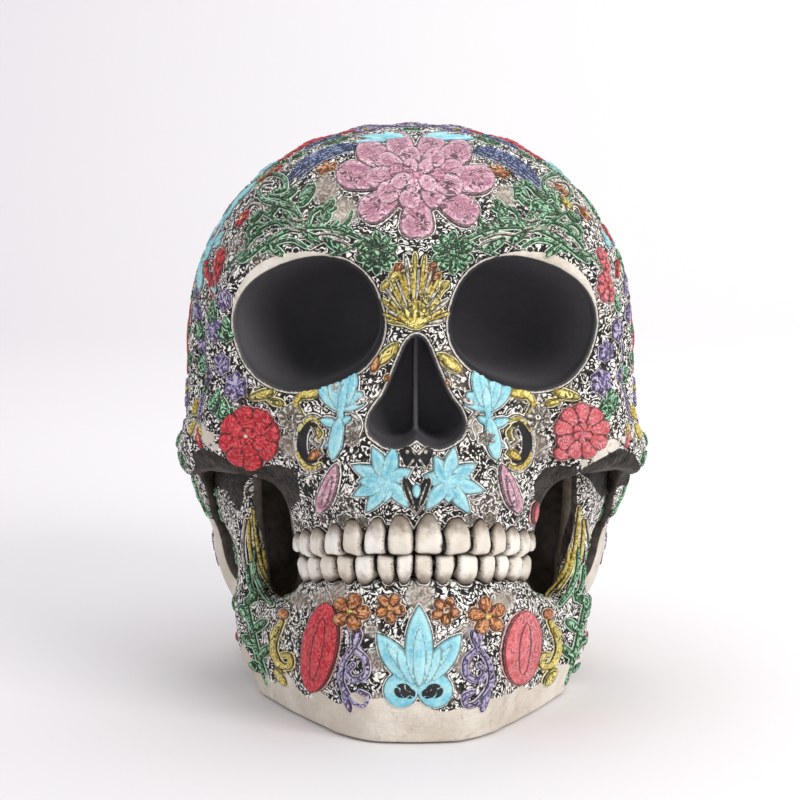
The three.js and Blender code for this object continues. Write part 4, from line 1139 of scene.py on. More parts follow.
def decorate_jaw(k):
    V = k.V
    wob = random_field(V, 32, 13.0, 0.5)
    k.ivory = step01(V[:, 2] + wob * 1.6 + 0.035 * np.abs(V[:, 0]), 13.0, 10.5).astype(f32)
    k.ivory *= (V[:, 1] < 200)
    pla = np.zeros(len(V), f32)
    for cx, cy, r in ((338, 590, 9), (420, 596, 13), (376, 660, 10), (378, 702, 7), (462, 662, 9), (300, 600, 7), (322, 598, 9), (504, 600, 10), (372, 630, 6), (468, 630, 6)):
        d = np.hypot(k.px - cx, k.py - cy)
        pla = np.maximum(pla, step01(d, r + 6, r - 4) * (k.face > 0.1))
    k.plain = pla
    q = k.photo(415, 640, 245, 150, 0.1)
    # green and yellow at the sides
    for m, X in ((0, lambda z_: z_), (1, lambda z_: mir(z_, 832))):
        st(q, X([(246, 600), (252, 630), (258, 655), (268, 684)]), 1.2, 1.2, "green", wm=1.9)
        for a, b in (((250, 618), (240, 606)), ((252, 632), (266, 620)), ((255, 646), (243, 636)), ((258, 658), (271, 646)), ((262, 672), (250, 662)), ((247, 604), (257, 592))):
            pl(q, *X([a, b]), 3.4, "green")
        st(q, X([(282, 622), (276, 636), (274, 650), (280, 664), (290, 666), (290, 656), (283, 655)]), 2.0, 1.8, "yellow", wm=2.8)
        pl(q, *X([(276, 668), (288, 686)]), 4.2, "yellow")
        pl(q, *X([(272, 640), (280, 626)]), 3.6, "yellow")
        dot(q, *X([(284, 614)])[0], 4.6, "orange")
        st(q, X([(253, 508), (255, 530), (258, 552), (263, 572), (274, 590)]), 0.9, 1.0, "yellow", wm=1.5)
        st(q, X([(249, 520), (250, 540), (252, 560)]), 0.7, 0.7, "yellow", wm=1.0)
        st(q, X([(262, 548), (266, 568), (276, 584), (286, 596)]), 1.2, 1.2, "yellow", wm=1.8)
        st(q, X([(254, 548), (255, 570), (262, 590), (272, 604)]), 0.8, 1.0, "green", wm=1.5)
        st(q, X([(248, 566), (250, 584), (256, 600)]), 0.7, 0.8, "green", wm=1.2)
        st(q, X([(246, 520), (243, 545), (246, 570)]), 0.6, 0.6, "bone", wm=0.9)
        st(q, X([(258, 515), (260, 535), (264, 552)]), 0.6, 0.6, "bone", wm=0.9)
        st(q, X([(272, 556), (276, 572), (286, 584)]), 1.2, 1.2, "bone", wm=1.8)
        # purple scroll
        st(q, X([(353, 632), (355, 648), (366, 660), (366, 674), (354, 680), (347, 672), (353, 665)]), 1.4, 1.5, "purple", wm=2.1)
        st(q, X([(352, 650), (343, 664), (342, 684), (352, 700), (364, 706), (368, 697), (360, 692)]), 1.4, 1.5, "purple", wm=2.1)
        pl(q, *X([(354, 648), (360, 630)]), 3.2, "purple")
        pl(q, *X([(344, 690), (352, 712)]), 3.6, "purple")
    # ovals
    pl(q, (328, 603), (313, 692), 17.5, "red", wide=0.48, tip=0.5, base=0.5, h=1.2)
    pl(q, (326, 616), (315, 680), 6.0, "red", wide=0.5, h=1.45)
    pl(q, (526, 611), (517, 685), 18.5, "red", wide=0.5, tip=0.5, base=0.5, h=1.2)
    pl(q, (524, 622), (519, 675), 6.0, "red", wide=0.5, h=1.45)
    # orange flowers under the lower teeth
    fl(q, 351, 612, 19, 5, "orange", W=6.4 / SC, wide=0.66, rot=70, mid="yellow", dot=0.14, vein=True)
    fl(q, 390, 608, 15, 5, "orange", W=4.8 / SC, wide=0.68, rot=60, mid="yellow", dot=0.14, vein=True)
    fl(q, 445, 611, 14, 5, "orange", W=4.4 / SC, wide=0.68, rot=60, mid="bone", dot=0.16, vein=True)
    fl(q, 487, 616, 19, 5, "orange", W=6.0 / SC, wide=0.68, rot=100, mid="yellow", dot=0.14, vein=True)
    # lotus
    q2 = k.photo(418, 655, 60, 70)
    for x in (401, 435):
        dot(q2, x, 690, 17.0, "sky", h=0.9, flat=0.4)
    for x, m in ((404, 1), (433, -1)):
        q2.disc(q2.at(x - 1 * m, 690), 8.6 / SC, "black", 0.1, squash=0.86, flat=1.0)
        q2.disc(q2.at(x + 6 * m, 693), 5.6 / SC, "black", 0.1, squash=0.9, flat=1.0)
        st(q2, [(x - 9 * m, 686), (x - 4 * m, 688), (x - 3 * m, 693), (x + 1 * m, 698)], 0.8, 0.5, "sky", h=0.6)
        st(q2, [(x + 1 * m, 684), (x + 2 * m, 689), (x + 7 * m, 691)], 0.7, 0.4, "bone", h=0.6)
        st(q2, [(x + 3 * m, 697), (x + 6 * m, 695), (x + 10 * m, 697)], 0.5, 0.6, "sky", h=0.6)
    pl(q2, (411, 680), (377, 633), 12.0, "sky", wide=0.45, tip=0.95, h=0.95)
    pl(q2, (426, 680), (461, 634), 12.0, "sky", wide=0.45, tip=0.95, h=0.95)
    pl(q2, (409, 676), (386, 642), 4.5, "sky", wide=0.5, tip=0.95, h=1.25)
    pl(q2, (428, 676), (452, 643), 4.5, "sky", wide=0.5, tip=0.95, h=1.25)
    pl(q2, (413, 684), (398, 646), 6.5, "sky", wide=0.5, tip=0.9, h=1.1)
    pl(q2, (424, 684), (440, 646), 6.5, "sky", wide=0.5, tip=0.9, h=1.1)
    pl(q2, (419, 688), (419, 605), 14.0, "sky", wide=0.48, tip=0.95, base=0.8, h=1.15)
    pl(q2, (419, 686), (419, 626), 7.0, "sky", wide=0.5, tip=0.9, h=1.5)
    # the outer sides
    taken = []
    allow = k.mask & (k.face < -0.05) & (V[:, 2] > 15) & (k.N[:, 0] * np.sign(V[:, 0]) > 0.6) & (V[:, 2] < 60) & (V[:, 1] > -38)
    allow &= (V[:, 2] < 33) | (V[:, 1] > -18)
    fill_in(k, 9, [(8.0, 1.0, 300, ["sprig", "leavesg", "sprig2"])] + PLAN[3:], taken, allow)


# ---------------------------------------------------------------- build the two castings
def build_casting(fn, lo, hi):
    g, o = fill_grid(fn, lo, hi, STEP)
    V, Q = surface_nets(g, o, STEP)
    V = settle(fn, V, 1)
    V, Q = split_quads(V, Q)
    V = settle(fn, V, 2, 0.5)
    return V, Q, quad_normals(V, Q)


def black_of_cranium(V):
    ax = np.abs(V[:, 0]).astype(f32)
    y, z = V[:, 1].astype(f32), V[:, 2].astype(f32)
    b = orbit(ax, y, z) - 0.75
    b = np.minimum(b, nose(ax, y, z) - 0.7)
    b = np.minimum(b, np.maximum(hollow(ax, y, z) - 1.1, -30 - y * 0))
    return b


V, Q, N = build_casting(cranium_piece, (0, -84, -1.5), (74, 104, 174))
cran = Skin(cranium_piece, V, N, np.ones(len(V), bool))
cran.Q = Q
cran.black = black_of_cranium(V)
cran.mask = cran.black > 0.1
V, Q, N = build_casting(mandible, (0, -84, -1.5), (70, 18, 80))
jaw = Skin(mandible, V, N, np.ones(len(V), bool))
jaw.Q = Q
med = -N[:, 0] * np.sign(V[:, 0])
jaw.black = np.minimum(6.0, np.maximum((0.35 + 0.5 * step01(V[:, 2], 58, 46) - med) * 4.0, np.maximum(V[:, 1] * 0 - 46 - V[:, 1], 16 - V[:, 2])))
jaw.mask = jaw.black > 0.1

decorate_cranium(cran)
decorate_jaw(jaw)


def in_outline(x, y, pts, soft=2.0):
    """About 1 inside the outline, 0 outside, with a soft edge; all in pixels."""
    inside = np.zeros(len(x), bool)
    best = np.full(len(x), 1e9)
    n = len(pts)
    for i in range(n):
        (x0, y0), (x1, y1) = pts[i], pts[(i + 1) % n]
        c = ((y0 > y) != (y1 > y)) & (x < (x1 - x0) * (y - y0) / ((y1 - y0) or 1e-9) + x0)
        inside ^= c
        dx, dy = x1 - x0, y1 - y0
        t = np.clip(((x - x0) * dx + (y - y0) * dy) / (dx * dx + dy * dy + 1e-9), 0, 1)
        best = np.minimum(best, np.hypot(x - x0 - t * dx, y - y0 - t * dy))
    return step01(np.where(inside, best, -best), -soft, soft)


# outlines in camera pixels of the patches painted dark as shade under the cheek arches and at the inner corners of the
# gaps beside the jaw
SHADE_PATCHES = (
    [(193, 453), (203, 448), (218, 455), (240, 467), (262, 471), (250, 477), (244, 486), (243, 500), (240, 512), (235, 506), (227, 491), (208, 482), (195, 470)],
    [(578, 472), (600, 459), (620, 448), (635, 454), (641, 468), (633, 482), (612, 489), (602, 498), (596, 490), (590, 480)],
    [(535, 500), (534, 488), (537, 477), (544, 468), (559, 465), (577, 467), (577, 506), (571, 540), (565, 557), (559, 568), (552, 572), (549, 556), (545, 510)],
    [(299, 500), (300, 488), (297, 477), (290, 468), (275, 465), (257, 467), (257, 506), (263, 540), (269, 557), (275, 568), (282, 572), (285, 556), (289, 510)],
)


def shade_patches_of(k):
    r = np.zeros(len(k.V))
    for pts in SHADE_PATCHES:
        r = np.maximum(r, in_outline(k.px, k.py, pts) * step01(k.face, -0.14, -0.02) * (k.V[:, 1] < 10))
    return r.astype(f32)


def finish_skin(k, name, ivory, plain):
    V, N = k.V, k.N
    wave = 2.3
    fil = random_field(V, 11, wave)
    brk = random_field(V, 12, 7.0, 0.5)
    near = k.S.min(0)
    # the tooth sockets count as outlines too
    band = (V[:, 1] < -34) & (V[:, 2] > 30) & (V[:, 2] < 76)
    td = np.full(len(V), 6.0, f32)
    row = 0 if name.startswith("cranium") else 1
    dx, dz = uneven(V[band, 0], V[band, 2], row)
    tx, ty, tz = (V[band, 0] - dx).astype(f32), V[band, 1].astype(f32), (V[band, 2] - dz).astype(f32)
    crowns = teeth(row)
    # the crown fields run flat past the roots, so they are brought to millimetres by their own slope
    slope = [(crowns(tx + q[0], ty + q[1], tz + q[2]) - crowns(tx - q[0], ty - q[1], tz - q[2])) / 0.4 for q in ((0.2, 0, 0), (0, 0.2, 0), (0, 0, 0.2))]
    td[band] = crowns(tx, ty, tz) / np.clip(np.sqrt(slope[0] ** 2 + slope[1] ** 2 + slope[2] ** 2), 0.15, 1.2)
    tooth = np.minimum(td, 6.0)
    low = step01(V[:, 2], 90, 82)
    deep = V[:, 1].astype(f32)
    rim = np.full(len(V), 9.0, f32)
    if name.startswith("cranium"):
        ax, y, z = np.abs(V[:, 0]).astype(f32), V[:, 1].astype(f32), V[:, 2].astype(f32)
        # the nose counts as deeper and not low, so it takes more of the painted light on the hollows' back walls
        nosy = (nose(ax, y, z) < 1.5) & (y < -20)
        deep = deep + 14.0 * nosy
        low = low * (1 - nosy)
        rim = np.where((y < -30) & (z > 88), orbit(ax, y, z), 9.0)
        rim = np.minimum(rim, np.where((y < -40) & (z > 66), nose(ax, y, z), 9.0))
    out = step01(near, 0.0, 0.9)
    # grooves and the small ridges between them
    ground = out * step01(k.black, 0.0, 0.8) * (1 - ivory) * (1 - 0.75 * plain)
    groove = np.clip(1 - np.abs(fil) / 0.6, 0, 1)
    relief = -0.26 * groove + 0.10 * np.clip(np.abs(fil) - 0.5, 0, 1)
    fine = random_field(V, 13, 5.0, 0.6) * 0.05
    D = k.H + ground * (relief - 0.06) + fine * 0.4 * step01(k.black, 0.0, 0.8)
    W = V + N * D[:, None]
    W[:, 2] = np.maximum(W[:, 2], BASE_Z)
    a = {"fil": fil, "brk": brk, "near": near, "edge": k.E, "tt": k.T, "blk": k.black, "ivo": ivory, "pla": plain, "hgt": k.H, "tooth": tooth, "rec": shade_patches_of(k), "rim": rim, "deep": deep, "low": low, "mid": step01(np.abs(V[:, 0]), 52, 44)}
    for c in COLOURS[:-1]:
        a["c_" + c] = k.S[CI[c]]
    return make_mesh(name, W, k.Q, a)


cranium_obj = finish_skin(cran, "cranium_casting", cran.ivory, cran.plain)
jaw_obj = finish_skin(jaw, "jaw_casting", jaw.ivory, jaw.plain)


def build_teeth(row, name, skin):
    h = 0.5
    fn = teeth(row)
    lo, hi = ((0, -84, 50), (40, -34, 72)) if row == 0 else ((0, -83, 34), (39, -34, 58))
    g, o = fill_grid(fn, lo, hi, h)
    V, Q = surface_nets(g, o, h)
    V = settle(fn, V, 2, 0.4)
    N = quad_normals(V, Q)
    ax, y, z = np.abs(V[:, 0]).astype(f32), V[:, 1].astype(f32), V[:, 2].astype(f32)
    rows = [T for T in TEETH if T["row"] == row]
    E = np.stack([one_tooth(T, ax, y, z) for T in rows])
    mine = E.argmin(0)
    E2 = np.sort(E, axis=0)
    gap = E2[1]
    gap = np.minimum(gap, np.abs(V[:, 0]) * 1.3 + 0.32)
    gum = skin(ax, y, z)
    o_ = np.array([occ(T["p"][1]) for T in rows])[mine]
    hh = np.array([T["h"] for T in rows])[mine]
    w = (z - o_) / hh if row == 0 else (o_ - 0.35 - z) / hh
    fine = random_field(V, 21, 2.6, 0.5)
    V = V + N * (0.05 * fine)[:, None]
    tone = np.random.RandomState(5 + row).uniform(-1, 1, 14)
    side = (V[:, 0] > 0).astype(int) * 7 + mine
    dx, dz = uneven(V[:, 0], V[:, 2], row)
    V[:, 0] += dx
    V[:, 2] += dz
    return make_mesh(name, V, Q, {"gap": gap, "gum": gum, "along": w, "fil": fine, "tone": tone[side]})


upper_teeth = build_teeth(0, "upper_teeth", cranium)
lower_teeth = build_teeth(1, "lower_teeth", mandible)


# ---------------------------------------------------------------- materials
def lin(hexa):
    v = [int(hexa[i : i + 2], 16) / 255 for i in (1, 3, 5)]
    return tuple(c / 12.92 if c <= 0.04045 else ((c + 0.055) / 1.055) ** 2.4 for c in v) + (1.0,)


class Nodes:
    def __init__(self, name):
        self.m = bpy.data.materials.new(name)
        self.m.use_nodes = True
        self.t = self.m.node_tree
        self.t.nodes.clear()
        self.out = self.t.nodes.new("ShaderNodeOutputMaterial")
        self.b = self.t.nodes.new("ShaderNodeBsdfPrincipled")
        self.t.links.new(self.b.outputs[0], self.out.inputs[0])

    def link(self, a, b):
        if hasattr(a, "links"):
            self.t.links.new(a, b)
        else:
            b.default_value = a

    def attr(self, name):
        n = self.t.nodes.new("ShaderNodeAttribute")
        n.attribute_name = name
        return n.outputs["Fac"]

    def math(self, op, a, b=0.0, c=0.0, clamp=False):
        n = self.t.nodes.new("ShaderNodeMath")
        n.operation = op
        n.use_clamp = clamp
        for i, x in enumerate((a, b, c)):
            if i < len(n.inputs):
                self.link(x, n.inputs[i])
        return n.outputs[0]

    def ramp(self, x, a, b, lo=0.0, hi=1.0):
        """x from a to b gives lo to hi, smoothly."""
        n = self.t.nodes.new("ShaderNodeMapRange")
        n.interpolation_type = "SMOOTHSTEP"
        n.clamp = True
        for s, val in (("Value", x), ("From Min", a), ("From Max", b), ("To Min", lo), ("To Max", hi)):
            self.link(val, n.inputs[s])
        return n.outputs[0]

    def mix(self, f, a, b, mode="MIX"):
        n = self.t.nodes.new("ShaderNodeMix")
        n.data_type = "RGBA"
        n.blend_type = mode
        n.clamp_factor = True
        self.link(f, n.inputs[0])
        self.link(a, n.inputs[6])
        self.link(b, n.inputs[7])
        return n.outputs[2]

    def coords(self):
        return self.t.nodes.new("ShaderNodeTexCoord").outputs["Object"]

    def axis(self, co, i):
        n = self.t.nodes.new("ShaderNodeSeparateXYZ")
        self.t.links.new(co, n.inputs[0])
        return n.outputs[i]

    def noise(self, co, scale, detail=3.0, rough=0.55, dist=0.0):
        n = self.t.nodes.new("ShaderNodeTexNoise")
        n.inputs["Scale"].default_value = scale
        n.inputs["Detail"].default_value = detail
        n.inputs["Roughness"].default_value = rough
        n.inputs["Distortion"].default_value = dist
        self.t.links.new(co, n.inputs["Vector"])
        return n.outputs[0]

    def bump(self, h, dist, strength=1.0):
        n = self.t.nodes.new("ShaderNodeBump")
        n.inputs["Distance"].default_value = dist
        n.inputs["Strength"].default_value = strength
        self.link(h, n.inputs["Height"])
        return n.outputs[0]


# the hand-painted colours: body tone, and a lighter tone where the brush ran thin and, as painted light, on the higher
# relief
PAINT = {
    "pink": ("#bb7893", "#deabbd", 0.30),
    "rose": ("#a95f7b", "#cc86a0", 0.40),
    "sky": ("#78c8dc", "#abe4ec", 0.10),
    "green": ("#2a9458", "#78d69c", 0.90),
    "red": ("#b21424", "#de3141", 0.22),
    "yellow": ("#dabb3c", "#f3e37a", 0.50),
    "orange": ("#b9632a", "#de8f47", 0.50),
    "purple": ("#8474b8", "#b8aad9", 0.70),
    "navy": ("#3b589a", "#748fc8", 0.66),
    "bone": ("#d6cab8", "#efe8dc", 0.50),
    "black": ("#17181b", "#2a2b2f", 0.0),
}


# pink, sky and red petals: colour of the painted shade in the middle, colour of the painted light at the rim, and how
# strong both are
PETAL_LIGHT_AND_SHADE = {"pink": ("#a3617b", "#f1cbd7", 0.55), "sky": ("#58b0cb", "#c6f1f4", 0.45), "red": ("#a20f1e", "#e2424f", 0.30)}


def skin_material(name):
    k = Nodes(name)
    co = k.coords()
    fil, brk = k.attr("fil"), k.attr("brk")
    n_big = k.noise(co, 55.0, 3.0, 0.6)
    n_mid = k.noise(co, 260.0, 3.0, 0.6)
    n_fine = k.noise(co, 1100.0, 2.0, 0.6)
    n_low = k.noise(co, 135.0, 1.5, 0.5, 0.6)
    n_cut = k.noise(co, 470.0, 1.5, 0.5, 0.8)
    # the finest engraving: bands that flow and curl, black in the cuts, pale on the lands
    phase = k.math("ADD", k.math("MULTIPLY", n_low, 9.2), k.math("MULTIPLY", n_cut, 3.0))
    band = k.math("SINE", k.math("MULTIPLY", phase, 6.28318))
    # the brow and the crown hold more black than the face does
    high = k.ramp(k.axis(co, 2), 0.118, 0.134)
    # painted light: low on the jaw, most on its right, and on the right side of the head, where the key light falls,
    # fewer black cuts and paler lands
    lit_jaw_and_right = k.math("MULTIPLY", k.ramp(k.axis(co, 2), 0.064, 0.050), k.ramp(k.axis(co, 0), -0.050, 0.020, 0.45, 1.0))
    lit_jaw_and_right = k.math("MAXIMUM", lit_jaw_and_right, k.ramp(k.axis(co, 0), 0.034, 0.058, 0.0, 0.8))
    cut_at = k.math("ADD", k.ramp(brk, -1.4, 1.4, -0.24, 0.20), k.math("SUBTRACT", k.math("MULTIPLY", high, 0.34), k.math("MULTIPLY", lit_jaw_and_right, 0.28)))
    fine = k.ramp(band, cut_at, k.math("SUBTRACT", cut_at, 0.18))
    land = k.ramp(k.math("ADD", band, k.math("SUBTRACT", k.math("MULTIPLY", lit_jaw_and_right, 0.24), k.math("MULTIPLY", high, 0.14))), 0.22, 0.40)
    near, tooth = k.attr("near"), k.attr("tooth")
    close = k.math("MINIMUM", near, k.math("ADD", tooth, 0.12))
    away = k.ramp(near, 0.25, 0.6)
    pla, ivo = k.attr("pla"), k.attr("ivo")
    calm = k.math("MULTIPLY", k.math("SUBTRACT", 1.0, k.math("MULTIPLY", pla, 0.75)), k.ramp(n_big, 0.68, 0.54, 0.75, 1.0))
    # ground: brown wash over ivory resin
    ground = k.mix(k.ramp(n_big, 0.36, 0.62), lin("#7b6d62"), lin("#a89a8d"))
    ground = k.mix(k.ramp(n_mid, 0.54, 0.70, 0.0, 0.7), ground, lin("#d8cfc3"))
    # paint that strays from the figures onto the lands beside them
    pale = k.mix(0.0, lin("#fffdf8"), lin("#fffdf8"))
    for c, reach, much in (("green", 0.75, 0.75), ("yellow", 1.2, 0.7), ("purple", 1.6, 0.7), ("navy", 1.9, 0.8), ("red", 1.0, 0.6), ("orange", 0.9, 0.6)):
        pale = k.mix(k.ramp(k.attr("c_" + c), reach, 0.3, 0.0, much), pale, lin(PAINT[c][1]))
    ground = k.mix(k.math("MULTIPLY", k.math("MULTIPLY", land, calm), 0.95), ground, pale)
    # engraved lines, filled with black
    width = k.ramp(brk, -1.5, 1.5, 0.06, 0.34)
    line = k.math("SUBTRACT", 1.0, k.ramp(k.math("ABSOLUTE", fil), width, k.math("ADD", width, 0.16)))
    line = k.math("MAXIMUM", line, fine)
    # a pale ridge and a cut follow each figure
    ridge = k.math("MULTIPLY", k.ramp(close, 0.24, 0.32), k.ramp(close, 0.58, 0.48))
    cut2 = k.math("MULTIPLY", k.ramp(close, 0.50, 0.60), k.ramp(close, 0.92, 0.80))
    cut2 = k.math("MULTIPLY", cut2, k.ramp(n_mid, 0.40, 0.55))
    line = k.math("MAXIMUM", k.math("MULTIPLY", line, k.ramp(close, 0.3, 0.6)), cut2)
    line = k.math("MULTIPLY", line, calm)
    ground = k.mix(k.math("MULTIPLY", line, 0.98), ground, lin("#0b0908"))
    ground = k.mix(k.math("MULTIPLY", ridge, k.ramp(n_mid, 0.42, 0.56, 0.05, 0.9)), ground, pale)
    # the rims of the sockets and of the nose: a pale edge, then a cut
    rim = k.math("ADD", k.attr("rim"), k.math("MULTIPLY", k.math("SUBTRACT", n_mid, 0.5), 0.35))
    ground = k.mix(k.math("MULTIPLY", k.ramp(rim, 1.20, 1.30), k.ramp(rim, 1.62, 1.50)), ground, lin("#0f0c0b"))
    ground = k.mix(k.math("MULTIPLY", k.math("MULTIPLY", k.ramp(rim, 0.80, 0.90), k.ramp(rim, 1.28, 1.18)), 0.85), ground, lin("#ddd4c8"))
    # plain ivory resin
    ivory = k.mix(k.ramp(n_big, 0.35, 0.7), lin("#d5cabb"), lin("#ece5da"))
    ivory = k.mix(k.ramp(n_mid, 0.58, 0.75, 0.0, 0.5), ivory, lin("#b3a593"))
    edge_noise = k.math("ADD", ivo, k.math("MULTIPLY", k.math("SUBTRACT", n_mid, 0.5), 0.5))
    col = k.mix(k.ramp(edge_noise, 0.42, 0.58), ground, ivory)
    # dark outline round each raised figure and each tooth
    outl = k.math("MULTIPLY", k.ramp(close, 0.30, 0.16), k.ramp(ivo, 0.9, 0.4))
    col = k.mix(k.math("MULTIPLY", outl, 0.95), col, lin("#0f0c0b"))
    # painted figures
    edge, tt, hgt = k.attr("edge"), k.attr("tt"), k.attr("hgt")
    deep = k.attr("deep")
    wob = k.math("MULTIPLY", k.math("SUBTRACT", n_fine, 0.5), 0.22)
    scored = 0.0
    for c in COLOURS[:-1]:
        d = k.math("ADD", k.attr("c_" + c), wob)
        dark, light, cutting = PAINT[c]
        # random brush tone, lighter where the relief stands higher: painted light on the ridges
        tone = k.mix(k.ramp(k.math("ADD", n_mid, k.math("MULTIPLY", hgt, 0.14)), 0.44, 0.74), lin(dark), lin(light))
        # painted light on the rims of the petals and painted shade in their middles
        if c in PETAL_LIGHT_AND_SHADE:
            petal_shade_col, petal_lit_col, share = PETAL_LIGHT_AND_SHADE[c]
            lit_rim = k.math("MULTIPLY", k.ramp(edge, 1.5, 0.5), k.ramp(n_mid, 0.34, 0.58, 0.5, 1.0))
            tone = k.mix(k.math("MULTIPLY", lit_rim, share), tone, lin(petal_lit_col))
            shaded_middle = k.ramp(edge, 1.0, 2.6)
            if c == "sky":
                shaded_middle = k.math("MULTIPLY", shaded_middle, k.ramp(edge, 2.96, 2.8))
            tone = k.mix(k.math("MULTIPLY", shaded_middle, share), tone, lin(petal_shade_col))
        if c == "red":
            # painted light: the red turns pinker towards the right and the front, where the key light falls
            red_glare = k.math("MULTIPLY", k.ramp(k.axis(co, 0), 0.012, 0.030), k.ramp(n_mid, 0.36, 0.62, 0.25, 0.62))
            tone = k.mix(k.math("MULTIPLY", red_glare, k.ramp(deep, -20.0, -34.0)), tone, lin("#ec9a9f"))
        m = k.ramp(d, 0.07, -0.07)
        col = k.mix(m, col, tone)
        scored = k.math("ADD", k.math("MULTIPLY", scored, k.math("SUBTRACT", 1.0, m)), k.math("MULTIPLY", m, cutting))
    inside = k.ramp(near, 0.02, -0.08)
    # the engraving runs over the paint as well, in some colours more than in others
    scored = k.math("MULTIPLY", scored, inside)
    # a dark hem just inside the edge of each figure: the wash at the foot of the relief, deepened as painted shade
    hem = k.math("MULTIPLY", k.ramp(near, -0.55, -0.10), k.ramp(n_mid, 0.40, 0.60, 0.2, 1.0))
    col = k.mix(k.math("MULTIPLY", k.math("MULTIPLY", hem, inside), k.math("ADD", 0.12, k.math("MULTIPLY", scored, 0.4))), col, lin("#1a1412"))
    col = k.mix(k.math("MULTIPLY", k.math("MULTIPLY", land, scored), 0.36), col, lin("#f2ece2"))
    col = k.mix(k.math("MULTIPLY", fine, scored), col, lin("#14100f"))
    # clusters of dark strokes on the petals
    tuft = k.math("MULTIPLY", k.ramp(n_mid, 0.50, 0.60), k.math("MULTIPLY", fine, k.ramp(scored, 0.15, 0.28)))
    col = k.mix(k.math("MULTIPLY", tuft, 0.75), col, lin("#1d1513"))
    # lines where petals overlap, and veins
    seam = k.math("MULTIPLY", k.ramp(edge, 0.46, 0.16), inside)
    col = k.mix(k.math("MULTIPLY", seam, k.ramp(scored, 0.08, 0.20, 0.46, 0.80)), col, lin("#1d1513"))
    wave = k.math("ABSOLUTE", k.math("SINE", k.math("MULTIPLY", tt, 6.28318)))
    vein = k.math("MULTIPLY", k.ramp(wave, 0.34, 0.12), k.ramp(k.math("ABSOLUTE", tt), 1.02, 0.8))
    vein = k.math("MULTIPLY", vein, k.ramp(n_fine, 0.42, 0.52))
    col = k.mix(k.math("MULTIPLY", k.math("MULTIPLY", vein, inside), k.math("ADD", 0.12, k.math("MULTIPLY", scored, 1.0))), col, lin("#2a1c1c"))
    # painted shade: dark patches under each cheek arch and at the inner corners of the gaps beside the jaw
    rec = k.math("ADD", k.attr("rec"), k.math("MULTIPLY", k.math("SUBTRACT", n_mid, 0.5), 0.5))
    col = k.mix(k.ramp(rec, 0.42, 0.56), col, k.mix(k.ramp(n_mid, 0.36, 0.66), lin("#1f1b19"), lin("#3f3732")))
    # matt black paint in the hollows
    blk = k.math("ADD", k.attr("blk"), k.math("MULTIPLY", k.math("SUBTRACT", n_mid, 0.5), 0.5))
    bm = k.ramp(blk, 0.25, -0.1)
    hollow_col = k.mix(k.ramp(n_mid, 0.36, 0.66), lin("#28282c"), lin("#363537"))
    # lighter grey further back in the sockets and the nose: painted light on their back walls
    hollow_col = k.mix(k.ramp(deep, -74.0, -40.0), hollow_col, k.mix(n_mid, lin("#68686e"), lin("#7a7678")))
    under = k.mix(k.ramp(n_mid, 0.34, 0.68), lin("#332d28"), lin("#544b43"))
    # further back in the gaps beside the jaw the brown turns lighter: painted light on the floors there
    under = k.mix(k.math("MULTIPLY", k.attr("mid"), k.ramp(deep, -52.0, -24.0)), under, k.mix(k.ramp(n_mid, 0.34, 0.68), lin("#7a7066"), lin("#988d82")))
    hollow_col = k.mix(k.attr("low"), hollow_col, under)
    col = k.mix(bm, col, hollow_col)
    k.link(col, k.b.inputs["Base Color"])
    rough = k.math("ADD", 0.50, k.math("MULTIPLY", n_mid, 0.18))
    rough = k.math("ADD", rough, k.math("MULTIPLY", line, 0.15))
    k.link(rough, k.b.inputs["Roughness"])
    k.b.inputs["Specular IOR Level"].default_value = 0.36
    cut = k.math("MULTIPLY", k.math("MULTIPLY", line, away), k.math("SUBTRACT", 1.0, bm))
    height = k.math("SUBTRACT", k.math("MULTIPLY", n_fine, 0.25), cut)
    height = k.math("SUBTRACT", height, k.math("MULTIPLY", seam, 0.8))
    height = k.math("SUBTRACT", height, k.math("MULTIPLY", k.math("MULTIPLY", fine, scored), 0.8))
    height = k.math("SUBTRACT", height, k.math("MULTIPLY", vein, 0.4))
    k.link(k.bump(height, 0.00022, 0.8), k.b.inputs["Normal"])
    return k.m


